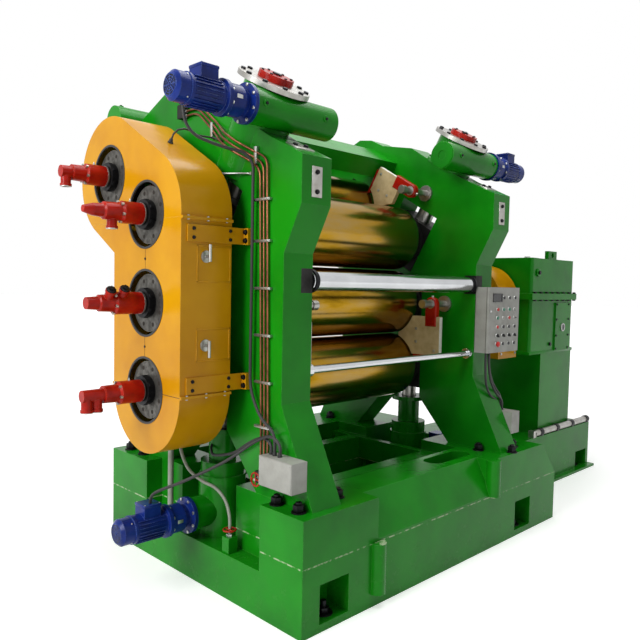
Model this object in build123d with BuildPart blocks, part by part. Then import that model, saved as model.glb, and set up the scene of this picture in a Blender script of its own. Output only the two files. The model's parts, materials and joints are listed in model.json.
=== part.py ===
from build123d import *
import os
from math import cos, pi, radians, sin, tan

os.makedirs("parts", exist_ok=True)

# Inclined-offset calender: three rolls stand in a vertical row and the top feed roll leans to the rear.
# X runs along the rolls from the operator side to the drive side, Y to the rear, Z up.
# The origin is on the floor, below the vertical row of rolls and midway between the side frames.
# All sizes are in millimetres and angles in degrees.

# Rolls
roll_d = 450.0
nip_gap = 5.0
roll_face = 1300.0
roll_edge = 12.0
neck_d = 250.0
shaft_d = 150.0
roll_3_z = 1552.0
offset_angle = 30.0
nip_travel = 12.0
gear_width = 90.0
gear_teeth = 32
gear_tooth_depth = 22.0
gear_hub_d = 260.0
gear_web = 50.0
gear_rim = 45.0
hub_d = 300.0
hub_t = 30.0
hub_bolt_pcd = 240.0
hub_bolt_d = 22.0
hub_bolts = 8
hub_recess = 20.0
shaft_nut_d = 150.0
shaft_nut_len = 38.0
spigot_d = 70.0
spigot_len = 60.0

# Clearances
running_gap = 0.05
guide_gap = 0.5
seat_gap = 0.3
moving_gap = 6.0

# Side housings
roll_end_gap = 120.0
housing_t = 200.0
foot_half = 854.0
foot_rise = 489.0
waist_half = 615.0
waist_top_z = 1820.0
shoulder_y = -735.0
shoulder_low_z = 2055.0
shoulder_top_z = 2290.0
screw_seat_s = 590.0
screw_seat_front = 220.0
screw_seat_rear = 150.0
crest_y = -36.0
crest_z = 2674.0
crest_2_y = 236.0
crest_2_z = 2725.0
peak_y = 471.0
peak_z = 2798.0
peak_2_y = 354.0
peak_2_z = 2782.0
rear_seat_s = 545.0
rear_seat_half = 190.0
rear_waist_top_z = 1690.0
leg_window_half = 430.0
leg_window_top_z = 860.0
boss_d = 300.0
boss_start = 290.0

# Bearing blocks and pressure screws
block_w = 340.0
block_proud = 8.0
cap_ring_d = 330.0
cap_ring_t = 24.0
window_run = 262.0
screw_d = 120.0
screw_reach = 690.0
rear_screw_reach = 630.0
lower_screw_d = 100.0

# Plinth and bed
plinth_front = 906.0
plinth_left = 1078.0
plinth_right = 1442.0
plinth_top_z = 337.0
bed_top_z = 571.0
plinth_wall = 175.0
end_wall = 150.0
column_clear = 45.0
pit_half_y = 560.0
beam_y = 340.0
beam_w = 100.0
beam_top_z = 500.0
cross_wall = 50.0
spine_half = 130.0
spine_top_z = 215.0
notch_front_y = 592.0
notch_rear_y = 485.0
notch_floor_z = 235.0
tunnel_half = 262.0
pocket_w = 204.0
pocket_z = 40.0
pocket_h = 195.0
pocket_depth = 150.0
pocket_left_x = -860.0
pocket_right_x = 983.0
anchor_d = 40.0
bed_slope_left = -540.0
bed_slope_right = 560.0
bed_slope_back = 110.0
bed_slope_rise = 16.0
bed_chamfer = 205.0
rib_d = 92.0
rib_foot_z = 68.0
bed_rib_x = 590.0
slot_len = 420.0
slot_w = 130.0
slot_x = 420.0
slot_y = -665.0

# Nip adjusters
column_d = 300.0
column_bore_gap = 7.0
worm_tube_d = 180.0
worm_offset = 140.0
worm_s = 695.0
upper_top_s = 790.0
screw_flange_d = 392.0
screw_flange_t = 26.0
red_cap_d = 190.0
red_cap_t = 34.0
worm_out = 230.0
worm_in = 326.0
motor_flange_d = 200.0
motor_flange_t = 22.0
motor_flange_edge = 6.0
reducer_d = 156.0
reducer_len = 120.0
reducer_neck_d = 128.0
reducer_neck_len = 34.0
motor_d = 144.0
motor_len = 196.0
motor_shield_d = 150.0
motor_shield_t = 14.0
fan_d = 140.0
fan_len = 74.0
fan_edge = 16.0
terminal_w = 96.0
terminal_h = 52.0
lower_column_d = 157.0
lower_flange_d = 250.0
lower_flange_t = 28.0
lower_flange_z = 812.0
lower_base_d = 270.0
lower_worm_z = 372.0
lower_bell_z = 650.0
lower_screw_end_z = 600.0
lower_worm_out = {"operator": 230.0, "drive": 136.0}
rear_top_s = 735.0
rear_worm_s = 640.0

# Gear cover
cover_r = 330.0
cover_back_gap = 105.0
cover_depth = 303.0
cover_sheet = 8.0
hub_hole_d = 335.0
cover_split_high_z = 1978.0
flange_out = 14.0
flange_t = 7.0
strap_h = 84.0
strap_t = 8.0
strap_upper_z = 1905.0
strap_lower_z = 1152.0
strap_reach = 270.0
strap_lug = 34.0
latch_x = 157.0
latch_upper_z = 1792.0
latch_lower_z = 1350.0
latch_plate = 60.0
latch_bar_d = 16.0
latch_bar_len = 84.0
latch_bar_share = 0.7
latch_stem = 36.0

# Rotary joints on the operator side
joint_gap = 8.0
joint_edge = 5.0
joint_port_bore_d = 36.0
joint_ring_t = 12.0
# Steps of each joint from the cover outwards: distance from the joint's back and diameter
joint_steps = {
    1: ((0, 112), (112, 112), (118, 88), (190, 84), (190, 66), (248, 62)),
    2: ((0, 112), (112, 112), (122, 92), (206, 88), (214, 70), (262, 62), (312, 34)),
    3: ((0, 112), (150, 116), (158, 90), (230, 84), (236, 68), (296, 60)),
    4: ((0, 116), (124, 118), (132, 92), (206, 88), (206, 64), (316, 60)),
}
# Ports of each joint: distance from the joint's back, turn from downwards to the front, width and reach
joint_ports = {
    1: ((219, 0, 52, 76),),
    2: ((160, 0, 50, 84),),
    3: ((120, 140, 46, 92), (190, 140, 46, 84)),
    4: ((238, 0, 54, 80), (289, 0, 54, 80)),
}

# Guide roller, guide bar and stock guides
guide_inset = 40.0
guide_roller_z = 1683.0
guide_roller_d = 105.0
guide_roller_gap = 12.0
guide_journal_d = 45.0
guide_pocket_back = 50.0
guide_pocket_h = 126.0
guide_pocket_depth = 80.0
guide_bar_z = 1215.0
guide_bar_d = 42.0
guide_socket_d = 70.0
guide_socket_len = 34.0
stock_clear = 10.0
stock_travel_in = 50.0
stock_t = 32.0
stock_tip = 95.0
stock_lower_reach = 445.0
stock_lower_half = 134.0
stock_upper_reach = 400.0
stock_upper_half = 118.0
stock_lower_x = 620.0
stock_upper_x = 600.0
holder_w = 92.0
holder_t = 44.0
holder_edge = 6.0
rod_d = 46.0
rod_reach = 372.0
rod_side = 222.0
rod_nut_d = 58.0
rod_nut_len = 40.0
rod_foot_d = 112.0
rod_foot_t = 16.0

# Cross beam between the housings
beam_corner_y = 95.0
beam_corner_z = 2578.0
beam_face = 136.0
beam_depth = 250.0
beam_wall = 16.0

# Boxes
panel_w = 410.0
panel_depth = 107.0
panel_h = 445.0
panel_low_z = 1225.0
panel_edge = 10.0
junction_w = 242.0
junction_d = 100.0
junction_h = 148.0
junction_low_z = 667.0
junction_y = -690.0

# Pipes and cables that the machine holds
lube_pipe_d = 12.0
lube_pitch = 27.0
lube_out = 14.0
lube_over = 64.0
lube_cross_s = 430.0
lube_top_y = 240.0
lube_top_z = 2618.0
lube_down_y = -440.0
lube_low_y = -480.0
lube_end_run = 120.0
lube_turn_z = 2240.0
lube_block_t = 34.0
lube_block_h = 60.0
lube_low_z = 700.0
cable_d = 16.0
cable_out = 31.0
cable_down_y = -404.0
cable_box_out = 50.0
cable_loop = 150.0
drain_pipe_d = 34.0
drain_pipe_y = 268.0
drain_pipe_z = 900.0
drain_pipe_out = 76.0
drain_valve_x = -1040.0
drain_valve_y = -300.0
drain_valve_w = 56.0
drain_valve_h = 84.0

# Drive side
drive_base_end = 3060.0
drive_base_half = 458.0
drive_base_top_z = 420.0
drive_base_foot_t = 22.0
drive_base_foot_out = 46.0
drive_wall = 40.0
drive_pit_wall = 100.0
drive_pocket_w = 220.0
drive_pocket_h = 150.0
pedestal_left = 2150.0
pedestal_right = 2720.0
pedestal_ledge = 52.0
pedestal_top_z = 1112.0
reducer_left = 1950.0
reducer_top_z = 1920.0
reducer_split_z = 1600.0
reducer_flange_t = 26.0
reducer_flange_out = 24.0
reducer_edge = 26.0
ear_w = 150.0
ear_h = 70.0
ear_t = 34.0
ear_hole_d = 44.0
guard_r = 300.0
guard_left = 1640.0
guard_wall = 8.0
guard_foot_z = 1090.0
drive_flange_d = 330.0
drive_flange_t = 46.0
reducer_panel_left = 2380.0
reducer_panel_right = 2640.0
reducer_panel_low_z = 1130.0
reducer_panel_top_z = 1548.0
reducer_panel_t = 12.0
reducer_cap_d = 300.0
reducer_cap_t = 18.0
output_d = 180.0
rail_d = 56.0
rail_start = 2030.0
rail_inset = 23.0
rail_block = 46.0

# Values worked out from the driving dimensions
roll_r = roll_d / 2
roll_pitch = roll_d + nip_gap
lean_sin = sin(radians(offset_angle))
lean_cos = cos(radians(offset_angle))
roll_2_z = roll_3_z + roll_pitch
roll_4_z = roll_3_z - roll_pitch
roll_1_y = roll_pitch * lean_cos
roll_1_z = roll_2_z + roll_pitch * lean_sin
roll_places = {1: (roll_1_y, roll_1_z), 2: (0.0, roll_2_z), 3: (0.0, roll_3_z), 4: (0.0, roll_4_z)}
screw_turns = {1: offset_angle - 90, 2: offset_angle, 3: 0, 4: 180}
housing_in = roll_face / 2 + roll_end_gap
housing_out = housing_in + housing_t
housing_mid = housing_in + housing_t / 2
pit_half_x = housing_mid - lower_base_d / 2 - column_clear
guide_y = guide_inset - waist_half
rail_y = rail_inset - drive_base_half
pedestal_half = drive_base_half - pedestal_ledge
block_r = block_w / 2
cover_back_x = -(housing_out + cover_back_gap)
cover_face_x = cover_back_x - cover_depth
hub_face_x = cover_face_x + hub_recess
joint_back = abs(hub_face_x) + shaft_nut_len + joint_gap
screw_bore_d = screw_d + 2 * column_bore_gap
sides = {"operator": -1, "drive": 1}


def save(builder, label):
    """Name a finished piece and write its file."""
    builder.part.label = label
    export_step(builder.part, f"parts/{label}.step")


def lean(base_y, base_z, up, rear):
    """Point at a distance up the lean of the second roll and rearwards along the lean of the first."""
    return (base_y - up * lean_sin + rear * lean_cos, base_z + up * lean_cos + rear * lean_sin)


def across(y, z, turn=1):
    """Plane on the axis through y and z, with its normal along X, outwards to the side of turn."""
    return Plane(origin=(0, y, z), x_dir=(0, 1, 0), z_dir=(turn, 0, 0))


def screw_plane(number, turn, side):
    """Plane at a roll's centre in one housing, with its normal along the roll's pressure screw."""
    roll_y, roll_z = roll_places[number]
    return Plane(origin=(side * housing_mid, roll_y, roll_z), x_dir=(1, 0, 0),
                 z_dir=(0, -sin(radians(turn)), cos(radians(turn))))


def disc(plane, radius, start, end, mode=Mode.ADD):
    """Round step of the given radius between two distances along the plane's normal."""
    with BuildSketch(plane.offset(start)) as face:
        Circle(radius)
    extrude(to_extrude=face.sketch, amount=end - start, mode=mode)


def turned(plane, steps, start=0.0, mode=Mode.ADD):
    """Round piece along the plane's normal through corners given as distance and diameter."""
    with BuildSketch(Plane(origin=plane.origin, x_dir=plane.z_dir, z_dir=plane.y_dir)) as half:
        with BuildLine():
            Polyline((start + steps[0][0], 0), *((start + at, width / 2) for at, width in steps),
                     (start + steps[-1][0], 0), close=True)
        make_face()
    revolve(profiles=half.sketch, axis=Axis(plane.origin, plane.z_dir), mode=mode)


def tube(label, points, width):
    """Pipe or cable of the given width along straight runs that tangent arcs join."""
    radii = []
    for before, corner, after in zip(points, points[1:], points[2:]):
        run_in = Vector(*corner) - Vector(*before)
        run_out = Vector(*after) - Vector(*corner)
        half_turn = radians(run_in.get_angle(run_out)) / 2
        radii.append(0.45 * min(run_in.length, run_out.length) / tan(half_turn))
    with BuildLine() as route:
        path = FilletPolyline(*points, radius=radii)
    with BuildSketch(Plane(origin=path @ 0, z_dir=path % 0)) as section:
        Circle(width / 2)
    added = sweep(sections=section.sketch, path=path)
    expected = pi * width**2 / 4 * path.length
    print(label, "length", round(path.length), "least radius", round(min(radii), 1), "of width", width,
          "volume against section by length", round(added.volume / expected, 3))


def box(x_range, y_range, z_range, mode=Mode.ADD):
    """Straight block between its limits on X, Y and Z."""
    with BuildSketch(Plane.XY.offset(min(z_range))) as face:
        with Locations(((x_range[0] + x_range[1]) / 2, (y_range[0] + y_range[1]) / 2)):
            Rectangle(abs(x_range[1] - x_range[0]), abs(y_range[1] - y_range[0]))
    extrude(to_extrude=face.sketch, amount=abs(z_range[1] - z_range[0]), mode=mode)


# Plinth: cast base with anchor pockets, a central spine and a notch for the lower gear motors
with BuildPart() as plinth:
    box((-plinth_left, plinth_right), (-plinth_front, plinth_front), (0, plinth_top_z))
    for left, right in ((-pit_half_x, pit_half_x), (housing_out + drive_pit_wall, plinth_right - end_wall)):
        for y_side in (-1, 1):
            box((left, right), (y_side * spine_half, y_side * (beam_y - beam_w / 2)),
                (0, plinth_top_z), Mode.SUBTRACT)
            box((left, right), (y_side * (beam_y + beam_w / 2), y_side * (plinth_front - plinth_wall)),
                (0, plinth_top_z), Mode.SUBTRACT)
        box((left, right), (-spine_half, spine_half), (spine_top_z, plinth_top_z), Mode.SUBTRACT)
    # The notch in the operator end wall and its tunnel under the housing, and the one at the drive end
    box((-plinth_left, -housing_out), (-notch_front_y, notch_rear_y),
        (notch_floor_z, plinth_top_z), Mode.SUBTRACT)
    box((-housing_out, -pit_half_x), (-tunnel_half, tunnel_half),
        (notch_floor_z, plinth_top_z), Mode.SUBTRACT)
    box((pit_half_x, plinth_right), (-tunnel_half, tunnel_half),
        (notch_floor_z, plinth_top_z), Mode.SUBTRACT)
    # Anchor pockets with the bolt holes in their floors
    for pocket_x in (pocket_left_x, pocket_right_x):
        for y_side in (-1, 1):
            box((pocket_x - pocket_w / 2, pocket_x + pocket_w / 2),
                (y_side * (plinth_front - pocket_depth), y_side * plinth_front),
                (pocket_z, pocket_z + pocket_h), Mode.SUBTRACT)
            with BuildSketch(Plane.XY) as anchor:
                with Locations((pocket_x, y_side * (plinth_front - pocket_depth / 2))):
                    Circle(anchor_d / 2)
            extrude(to_extrude=anchor.sketch, amount=pocket_z, mode=Mode.SUBTRACT)
    # Half-round rib on the front face, under the end of the bed's sloped wall
    with BuildSketch(Plane.XY.offset(rib_foot_z)) as rib:
        with Locations((bed_slope_left, -plinth_front)):
            Circle(rib_d / 2)
    extrude(to_extrude=rib.sketch, amount=plinth_top_z - rib_foot_z)
save(plinth, "plinth")

# Bed: cast frame on the plinth that carries both housings
with BuildPart() as bed:
    box((-plinth_left, plinth_right), (-plinth_front, plinth_front), (plinth_top_z, bed_top_z))
    box((-pit_half_x, pit_half_x), (-pit_half_y, pit_half_y), (plinth_top_z, bed_top_z), Mode.SUBTRACT)
    box((-plinth_left, -housing_out), (-notch_front_y, notch_rear_y),
        (plinth_top_z, bed_top_z), Mode.SUBTRACT)
    box((-housing_out, -pit_half_x), (-tunnel_half, tunnel_half), (plinth_top_z, bed_top_z), Mode.SUBTRACT)
    box((pit_half_x, plinth_right), (-tunnel_half, tunnel_half), (plinth_top_z, bed_top_z), Mode.SUBTRACT)
    for turn in (-1, 1):
        box((-pit_half_x, pit_half_x), (turn * (beam_y - beam_w / 2), turn * (beam_y + beam_w / 2)),
            (plinth_top_z, beam_top_z))
        box((turn * (pit_half_x - cross_wall), turn * pit_half_x), (-pit_half_y, pit_half_y),
            (plinth_top_z, beam_top_z))
    # Round-ended slot between the sloped wall and the pit
    with BuildSketch(Plane.XY.offset(plinth_top_z)) as slot:
        with Locations((slot_x, slot_y)):
            SlotOverall(slot_len, slot_w)
    extrude(to_extrude=slot.sketch, amount=bed_top_z - plinth_top_z, mode=Mode.SUBTRACT)
    # Sloped casting wall, front and rear
    for y_side in (-1, 1):
        with BuildSketch(Plane.YZ.offset(bed_slope_left)) as slope:
            with BuildLine():
                Polyline(
                    (y_side * plinth_front, plinth_top_z + bed_slope_rise),
                    (y_side * plinth_front, bed_top_z),
                    (y_side * (plinth_front - bed_slope_back), bed_top_z),
                    close=True,
                )
            make_face()
        extrude(to_extrude=slope.sketch, amount=bed_slope_right - bed_slope_left, mode=Mode.SUBTRACT,
                dir=(1, 0, 0))
    # Half-round rib at the drive end of the sloped wall
    with BuildSketch(Plane.XY.offset(plinth_top_z)) as bed_rib:
        with Locations((bed_rib_x, -plinth_front)):
            Circle(rib_d / 2)
    extrude(to_extrude=bed_rib.sketch, amount=bed_top_z - plinth_top_z)
    # Chamfered drive end
    with BuildSketch(Plane.XZ) as end_cut:
        with BuildLine():
            Polyline(
                (plinth_right, plinth_top_z),
                (plinth_right, bed_top_z),
                (plinth_right - bed_chamfer, bed_top_z),
                close=True,
            )
        make_face()
    extrude(to_extrude=end_cut.sketch, amount=plinth_front, both=True, mode=Mode.SUBTRACT)
save(bed, "bed")

# Side housings with the windows of the bearing blocks and the open legs
rear_high = lean(roll_1_y, roll_1_z, rear_seat_half, rear_seat_s)
rear_low = lean(roll_1_y, roll_1_z, -rear_seat_half, rear_seat_s)
housing_outline = [
    (-foot_half, bed_top_z),
    (-waist_half, bed_top_z + foot_rise),
    (-waist_half, waist_top_z),
    (shoulder_y, shoulder_low_z),
    (shoulder_y, shoulder_top_z),
    lean(0, roll_2_z, screw_seat_s, -screw_seat_front),
    lean(0, roll_2_z, screw_seat_s, screw_seat_rear),
    (crest_y, crest_z),
    (crest_2_y, crest_2_z),
    (peak_2_y, peak_2_z),
    (peak_y, peak_z),
    rear_high,
    rear_low,
    (waist_half, rear_waist_top_z),
    (waist_half, bed_top_z + foot_rise),
    (foot_half, bed_top_z),
]
for side_name, side in sides.items():
    with BuildPart() as housing:
        with BuildSketch(Plane.YZ.offset(side * housing_mid)) as outline:
            with BuildLine():
                Polyline(*housing_outline, close=True)
            make_face()
        extrude(to_extrude=outline.sketch, amount=housing_t / 2, both=True)
        # Nut bosses round the leaning screws, proud of the outer face
        for number, boss_end in ((2, screw_seat_s), (1, rear_seat_s)):
            boss = screw_plane(number, screw_turns[number], side)
            disc(boss, boss_d / 2, boss_start, boss_end)
            disc(boss, screw_bore_d / 2, 0, boss_end, Mode.SUBTRACT)
        box((side * (housing_mid - boss_d), side * housing_in), (-foot_half, foot_half + boss_d),
            (bed_top_z, peak_z), Mode.SUBTRACT)
        # Windows for the blocks, and the leg window below them
        with BuildSketch(Plane.YZ.offset(side * housing_mid)) as windows:
            with Locations(roll_places[3]):
                Rectangle(block_w + 2 * seat_gap, block_w + 2 * seat_gap)
            for number in (1, 2):
                turn = screw_turns[number]
                low = block_r + moving_gap
                middle = (window_run - low) / 2
                window_y = roll_places[number][0] - middle * sin(radians(turn))
                window_z = roll_places[number][1] + middle * cos(radians(turn))
                with Locations((window_y, window_z)):
                    Rectangle(block_w + 2 * guide_gap, window_run + low, rotation=turn)
            with BuildLine():
                Polyline(
                    (-leg_window_half, bed_top_z),
                    (-block_r - guide_gap, leg_window_top_z),
                    (-block_r - guide_gap, roll_4_z + block_r + moving_gap),
                    (block_r + guide_gap, roll_4_z + block_r + moving_gap),
                    (block_r + guide_gap, leg_window_top_z),
                    (leg_window_half, bed_top_z),
                    close=True,
                )
            make_face()
        extrude(to_extrude=windows.sketch, amount=housing_t, both=True, mode=Mode.SUBTRACT)
        # Pocket for the guide roller's bearing, open to the front edge
        pocket_in = side * housing_in
        box((pocket_in, pocket_in + side * guide_pocket_depth),
            (-waist_half, guide_y + guide_pocket_back),
            (guide_roller_z - guide_pocket_h / 2, guide_roller_z + guide_pocket_h / 2), Mode.SUBTRACT)
    save(housing, f"housing_{side_name}")

# Cross beam: leaning box section between the housings
beam_mid = lean(beam_corner_y, beam_corner_z, -beam_face / 2, beam_depth / 2)
with BuildPart() as cross_beam:
    with BuildSketch(Plane.YZ) as section:
        with Locations(beam_mid):
            Rectangle(beam_depth, beam_face, rotation=offset_angle)
            Rectangle(beam_depth - 2 * beam_wall, beam_face - 2 * beam_wall, rotation=offset_angle,
                      mode=Mode.SUBTRACT)
    extrude(to_extrude=section.sketch, amount=housing_in, both=True)
save(cross_beam, "cross_beam")

# Rolls: forged body, necks, operator shaft with gear and bolted hub, and a spigot for the rotary joint
gear_x = -(housing_out + cover_back_gap + cover_depth / 2)
neck_end = housing_out + block_proud + cap_ring_t + 10
tooth_angle = 360 / gear_teeth
gear_root_r = roll_pitch / 2 - nip_gap / 2 - gear_tooth_depth
for number, (roll_y, roll_z) in roll_places.items():
    axis = across(roll_y, roll_z)
    with BuildPart() as roll:
        disc(axis, roll_r, -roll_face / 2, roll_face / 2)
        chamfer(roll.edges().filter_by(GeomType.CIRCLE), roll_edge)
        disc(axis, neck_d / 2, -neck_end, neck_end)
        disc(axis, shaft_d / 2, hub_face_x, -neck_end)
        disc(axis, hub_d / 2, hub_face_x, hub_face_x + hub_t)
        disc(axis, shaft_nut_d / 2, hub_face_x - shaft_nut_len, hub_face_x)
        disc(axis, spigot_d / 2, -joint_back - spigot_len, hub_face_x)
        # Gear wheel in the cover: hub, web and toothed rim
        disc(axis, gear_root_r, gear_x - gear_width / 2, gear_x + gear_width / 2)
        for face_turn in (-1, 1):
            with BuildSketch(axis.offset(gear_x + face_turn * gear_width / 2)) as hollow:
                Circle(gear_root_r - gear_rim)
                Circle(gear_hub_d / 2, mode=Mode.SUBTRACT)
            extrude(to_extrude=hollow.sketch, amount=-face_turn * (gear_width - gear_web) / 2,
                    mode=Mode.SUBTRACT)
        with BuildSketch(axis.offset(gear_x - gear_width / 2)) as teeth:
            with PolarLocations(gear_root_r - 1, gear_teeth, start_angle=tooth_angle * number / 2):
                with Locations(Location((0, 0), -90)):
                    Trapezoid(gear_root_r * radians(tooth_angle) * 0.62, gear_tooth_depth + 1, 72,
                              align=(Align.CENTER, Align.MIN))
        extrude(to_extrude=teeth.sketch, amount=gear_width)
        # Bolt holes round the hub face
        with BuildSketch(axis.offset(hub_face_x)) as bolt_holes:
            with PolarLocations(hub_bolt_pcd / 2, hub_bolts, start_angle=180 / hub_bolts):
                Circle(hub_bolt_d / 2)
        extrude(to_extrude=bolt_holes.sketch, amount=hub_t, mode=Mode.SUBTRACT)
        if number == 3:
            disc(axis, shaft_d / 2, neck_end, guard_left + 60)
    save(roll, f"roll_{number}")

# Bearing blocks: one in each housing window, with a round retaining ring on both faces
for number, (roll_y, roll_z) in roll_places.items():
    turn = screw_turns[number]
    with BuildPart() as blocks:
        for side in sides.values():
            with BuildSketch(Plane.YZ.offset(side * housing_mid)) as block_face:
                with Locations((roll_y, roll_z)):
                    Rectangle(block_w, block_w, rotation=turn)
            extrude(to_extrude=block_face.sketch, amount=housing_t / 2 + block_proud, both=True)
            axis = across(roll_y, roll_z, side)
            disc(axis, cap_ring_d / 2, housing_in - block_proud - cap_ring_t,
                 housing_out + block_proud + cap_ring_t)
            disc(axis, neck_d / 2 + running_gap, 0, neck_end, Mode.SUBTRACT)
    save(blocks, f"roll_{number}_blocks")

# Pressure screws of the movable rolls, seated on the bearing blocks
for number in (1, 2, 4):
    turn = screw_turns[number]
    screw_end = {1: rear_screw_reach, 2: screw_reach, 4: roll_4_z - lower_screw_end_z}[number]
    screw_width = lower_screw_d if number == 4 else screw_d
    with BuildPart() as screws:
        for side in sides.values():
            disc(screw_plane(number, turn, side), screw_width / 2, block_r, screw_end)
    save(screws, f"roll_{number}_screws")


def gearmotor(y, z, start_x, turn):
    """Gear motor turned along X: flange, reducer with a waist, motor, end shield and fan cowl."""
    at = abs(start_x) if turn * start_x > 0 else -abs(start_x)
    turned(across(y, z, turn), motor_steps, at)
    box_x = turn * (at + motor_box_at)
    box((box_x - terminal_w / 2, box_x + terminal_w / 2), (y - terminal_w / 2, y + terminal_w / 2),
        (z, z + motor_d / 2 + terminal_h))


# Corners of the gear motor's outline, from its flange to the fan cowl
reducer_end = motor_flange_t + reducer_len
motor_start = reducer_end + motor_flange_t
motor_end = motor_start + motor_len
motor_box_at = motor_start + motor_len * 0.45
motor_steps = (
    (0, motor_flange_d),
    (motor_flange_t, motor_flange_d),
    (motor_flange_t + motor_flange_edge, reducer_neck_d),
    (motor_flange_t + reducer_neck_len, reducer_neck_d),
    (motor_flange_t + reducer_neck_len + motor_flange_edge, reducer_d),
    (reducer_end - motor_flange_edge, reducer_d),
    (reducer_end, motor_flange_d - motor_flange_t),
    (motor_start, motor_flange_d - motor_flange_t),
    (motor_start + motor_flange_edge, motor_d),
    (motor_end - motor_shield_t, motor_d),
    (motor_end - motor_shield_t, motor_shield_d),
    (motor_end, motor_shield_d),
    (motor_end, fan_d),
    (motor_end + fan_len - fan_edge, fan_d),
    (motor_end + fan_len, fan_d - 2 * fan_edge),
)


# Upper screw gearboxes with their worm tubes, gear motors, flanges and caps
worm_y, worm_z = lean(0, roll_2_z, worm_s, -worm_offset)
with BuildPart() as upper_gearboxes:
    for side in sides.values():
        axis = screw_plane(2, screw_turns[2], side)
        disc(axis, column_d / 2, screw_seat_s, upper_top_s)
        disc(across(worm_y, worm_z, side), worm_tube_d / 2, housing_mid - worm_in, housing_mid + worm_out)
        disc(axis, screw_bore_d / 2, screw_seat_s, screw_reach + nip_travel + moving_gap, Mode.SUBTRACT)
save(upper_gearboxes, "upper_gearboxes")
with BuildPart() as upper_gearmotors:
    for side in sides.values():
        gearmotor(worm_y, worm_z, side * (housing_mid + worm_out), side)
save(upper_gearmotors, "upper_gearmotors")
with BuildPart() as screw_flanges:
    for side in sides.values():
        for number, top in ((2, upper_top_s), (1, rear_top_s)):
            disc(screw_plane(number, screw_turns[number], side), screw_flange_d / 2, top,
                 top + screw_flange_t)
save(screw_flanges, "screw_flanges")
with BuildPart() as screw_caps:
    for side in sides.values():
        for number, top in ((2, upper_top_s + screw_flange_t), (1, rear_top_s + screw_flange_t)):
            disc(screw_plane(number, screw_turns[number], side), red_cap_d / 2, top, top + red_cap_t)
save(screw_caps, "screw_caps")

# Lower screw gearboxes in the pit under each housing, and their gear motors
with BuildPart() as lower_gearboxes:
    for side_name, side in sides.items():
        column = Plane(origin=(side * housing_mid, 0, 0), x_dir=(1, 0, 0), z_dir=(0, 0, 1))
        disc(column, lower_base_d / 2, notch_floor_z, bed_top_z)
        disc(column, lower_flange_d / 2, bed_top_z, lower_bell_z)
        disc(column, lower_column_d / 2, lower_bell_z, lower_flange_z)
        disc(column, lower_flange_d / 2, lower_flange_z, lower_flange_z + lower_flange_t)
        disc(across(0, lower_worm_z, side), worm_tube_d / 2, pit_half_x + moving_gap,
             housing_mid + lower_worm_out[side_name])
        disc(column, lower_screw_d / 2 + column_bore_gap, lower_screw_end_z - nip_travel - moving_gap,
             lower_flange_z + lower_flange_t, Mode.SUBTRACT)
save(lower_gearboxes, "lower_gearboxes")
with BuildPart() as lower_gearmotors:
    for side_name, side in sides.items():
        gearmotor(0, lower_worm_z, side * (housing_mid + lower_worm_out[side_name]), side)
save(lower_gearmotors, "lower_gearmotors")

# Rear screw gearboxes of the top roll, with the motors turned in between the housings
rear_y, rear_z = lean(roll_1_y, roll_1_z, worm_offset, rear_worm_s)
with BuildPart() as rear_gearboxes:
    for side in sides.values():
        axis = screw_plane(1, screw_turns[1], side)
        disc(axis, column_d / 2, rear_seat_s, rear_top_s)
        disc(across(rear_y, rear_z, side), worm_tube_d / 2, housing_mid - worm_in, housing_mid + worm_out)
        disc(axis, screw_bore_d / 2, rear_seat_s, rear_screw_reach + nip_travel + moving_gap, Mode.SUBTRACT)
save(rear_gearboxes, "rear_gearboxes")
with BuildPart() as rear_gearmotors:
    for side in sides.values():
        gearmotor(rear_y, rear_z, side * (housing_mid - worm_in), -side)
save(rear_gearmotors, "rear_gearmotors")


def cover_outline(inset, x):
    """Two round-ended bands round the roll axes, the inclined one and the upright one, as one face."""
    with BuildSketch(Plane.YZ.offset(x)) as outline:
        for first, last in ((1, 2), (2, 4)):
            with BuildSketch(mode=Mode.PRIVATE) as band:
                with Locations(roll_places[first], roll_places[last]):
                    Circle(cover_r - inset)
                make_hull()
            add(band.sketch_local)
    return outline.sketch


# Gear cover: sheet casing in four bolted sections, open towards the housing
cover_spans = {
    "gear_cover_top": ((-plinth_front, plinth_front), (cover_split_high_z, peak_z)),
    "gear_cover_front": ((-plinth_front, 0), (roll_4_z, cover_split_high_z)),
    "gear_cover_rear": ((0, plinth_front), (roll_4_z, cover_split_high_z)),
    "gear_cover_bottom": ((-plinth_front, plinth_front), (bed_top_z, roll_4_z)),
}
for label, (y_span, z_span) in cover_spans.items():
    with BuildPart() as cover:
        extrude(to_extrude=cover_outline(0, cover_face_x), amount=cover_depth)
        extrude(to_extrude=cover_outline(cover_sheet, cover_face_x + cover_sheet), amount=cover_depth,
                mode=Mode.SUBTRACT)
        # Flanges along the level joints
        for flange_z in (cover_split_high_z, roll_4_z):
            for y_side in (-1, 1):
                box((cover_face_x, cover_back_x),
                    (y_side * (cover_r - cover_sheet), y_side * (cover_r + flange_out)),
                    (flange_z - flange_t, flange_z + flange_t))
        for place in roll_places.values():
            disc(across(*place), hub_hole_d / 2, cover_face_x, cover_face_x + cover_sheet, Mode.SUBTRACT)
        box((cover_face_x, cover_back_x), y_span, z_span, Mode.INTERSECT)
    save(cover, label)

# Straps that carry the cover on the operator housing
with BuildPart() as cover_straps:
    for strap_z in (strap_upper_z, strap_lower_z):
        for y_side in (-1, 1):
            near = y_side * cover_r
            far = y_side * (cover_r + strap_t)
            box((cover_back_x - strap_reach, -housing_out - seat_gap), (near, far),
                (strap_z - strap_h / 2, strap_z + strap_h / 2))
            box((-housing_out - strap_lug, -housing_out), (far, y_side * (cover_r + strap_t + strap_lug)),
                (strap_z - strap_h / 2, strap_z + strap_h / 2))
save(cover_straps, "cover_straps")

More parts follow.
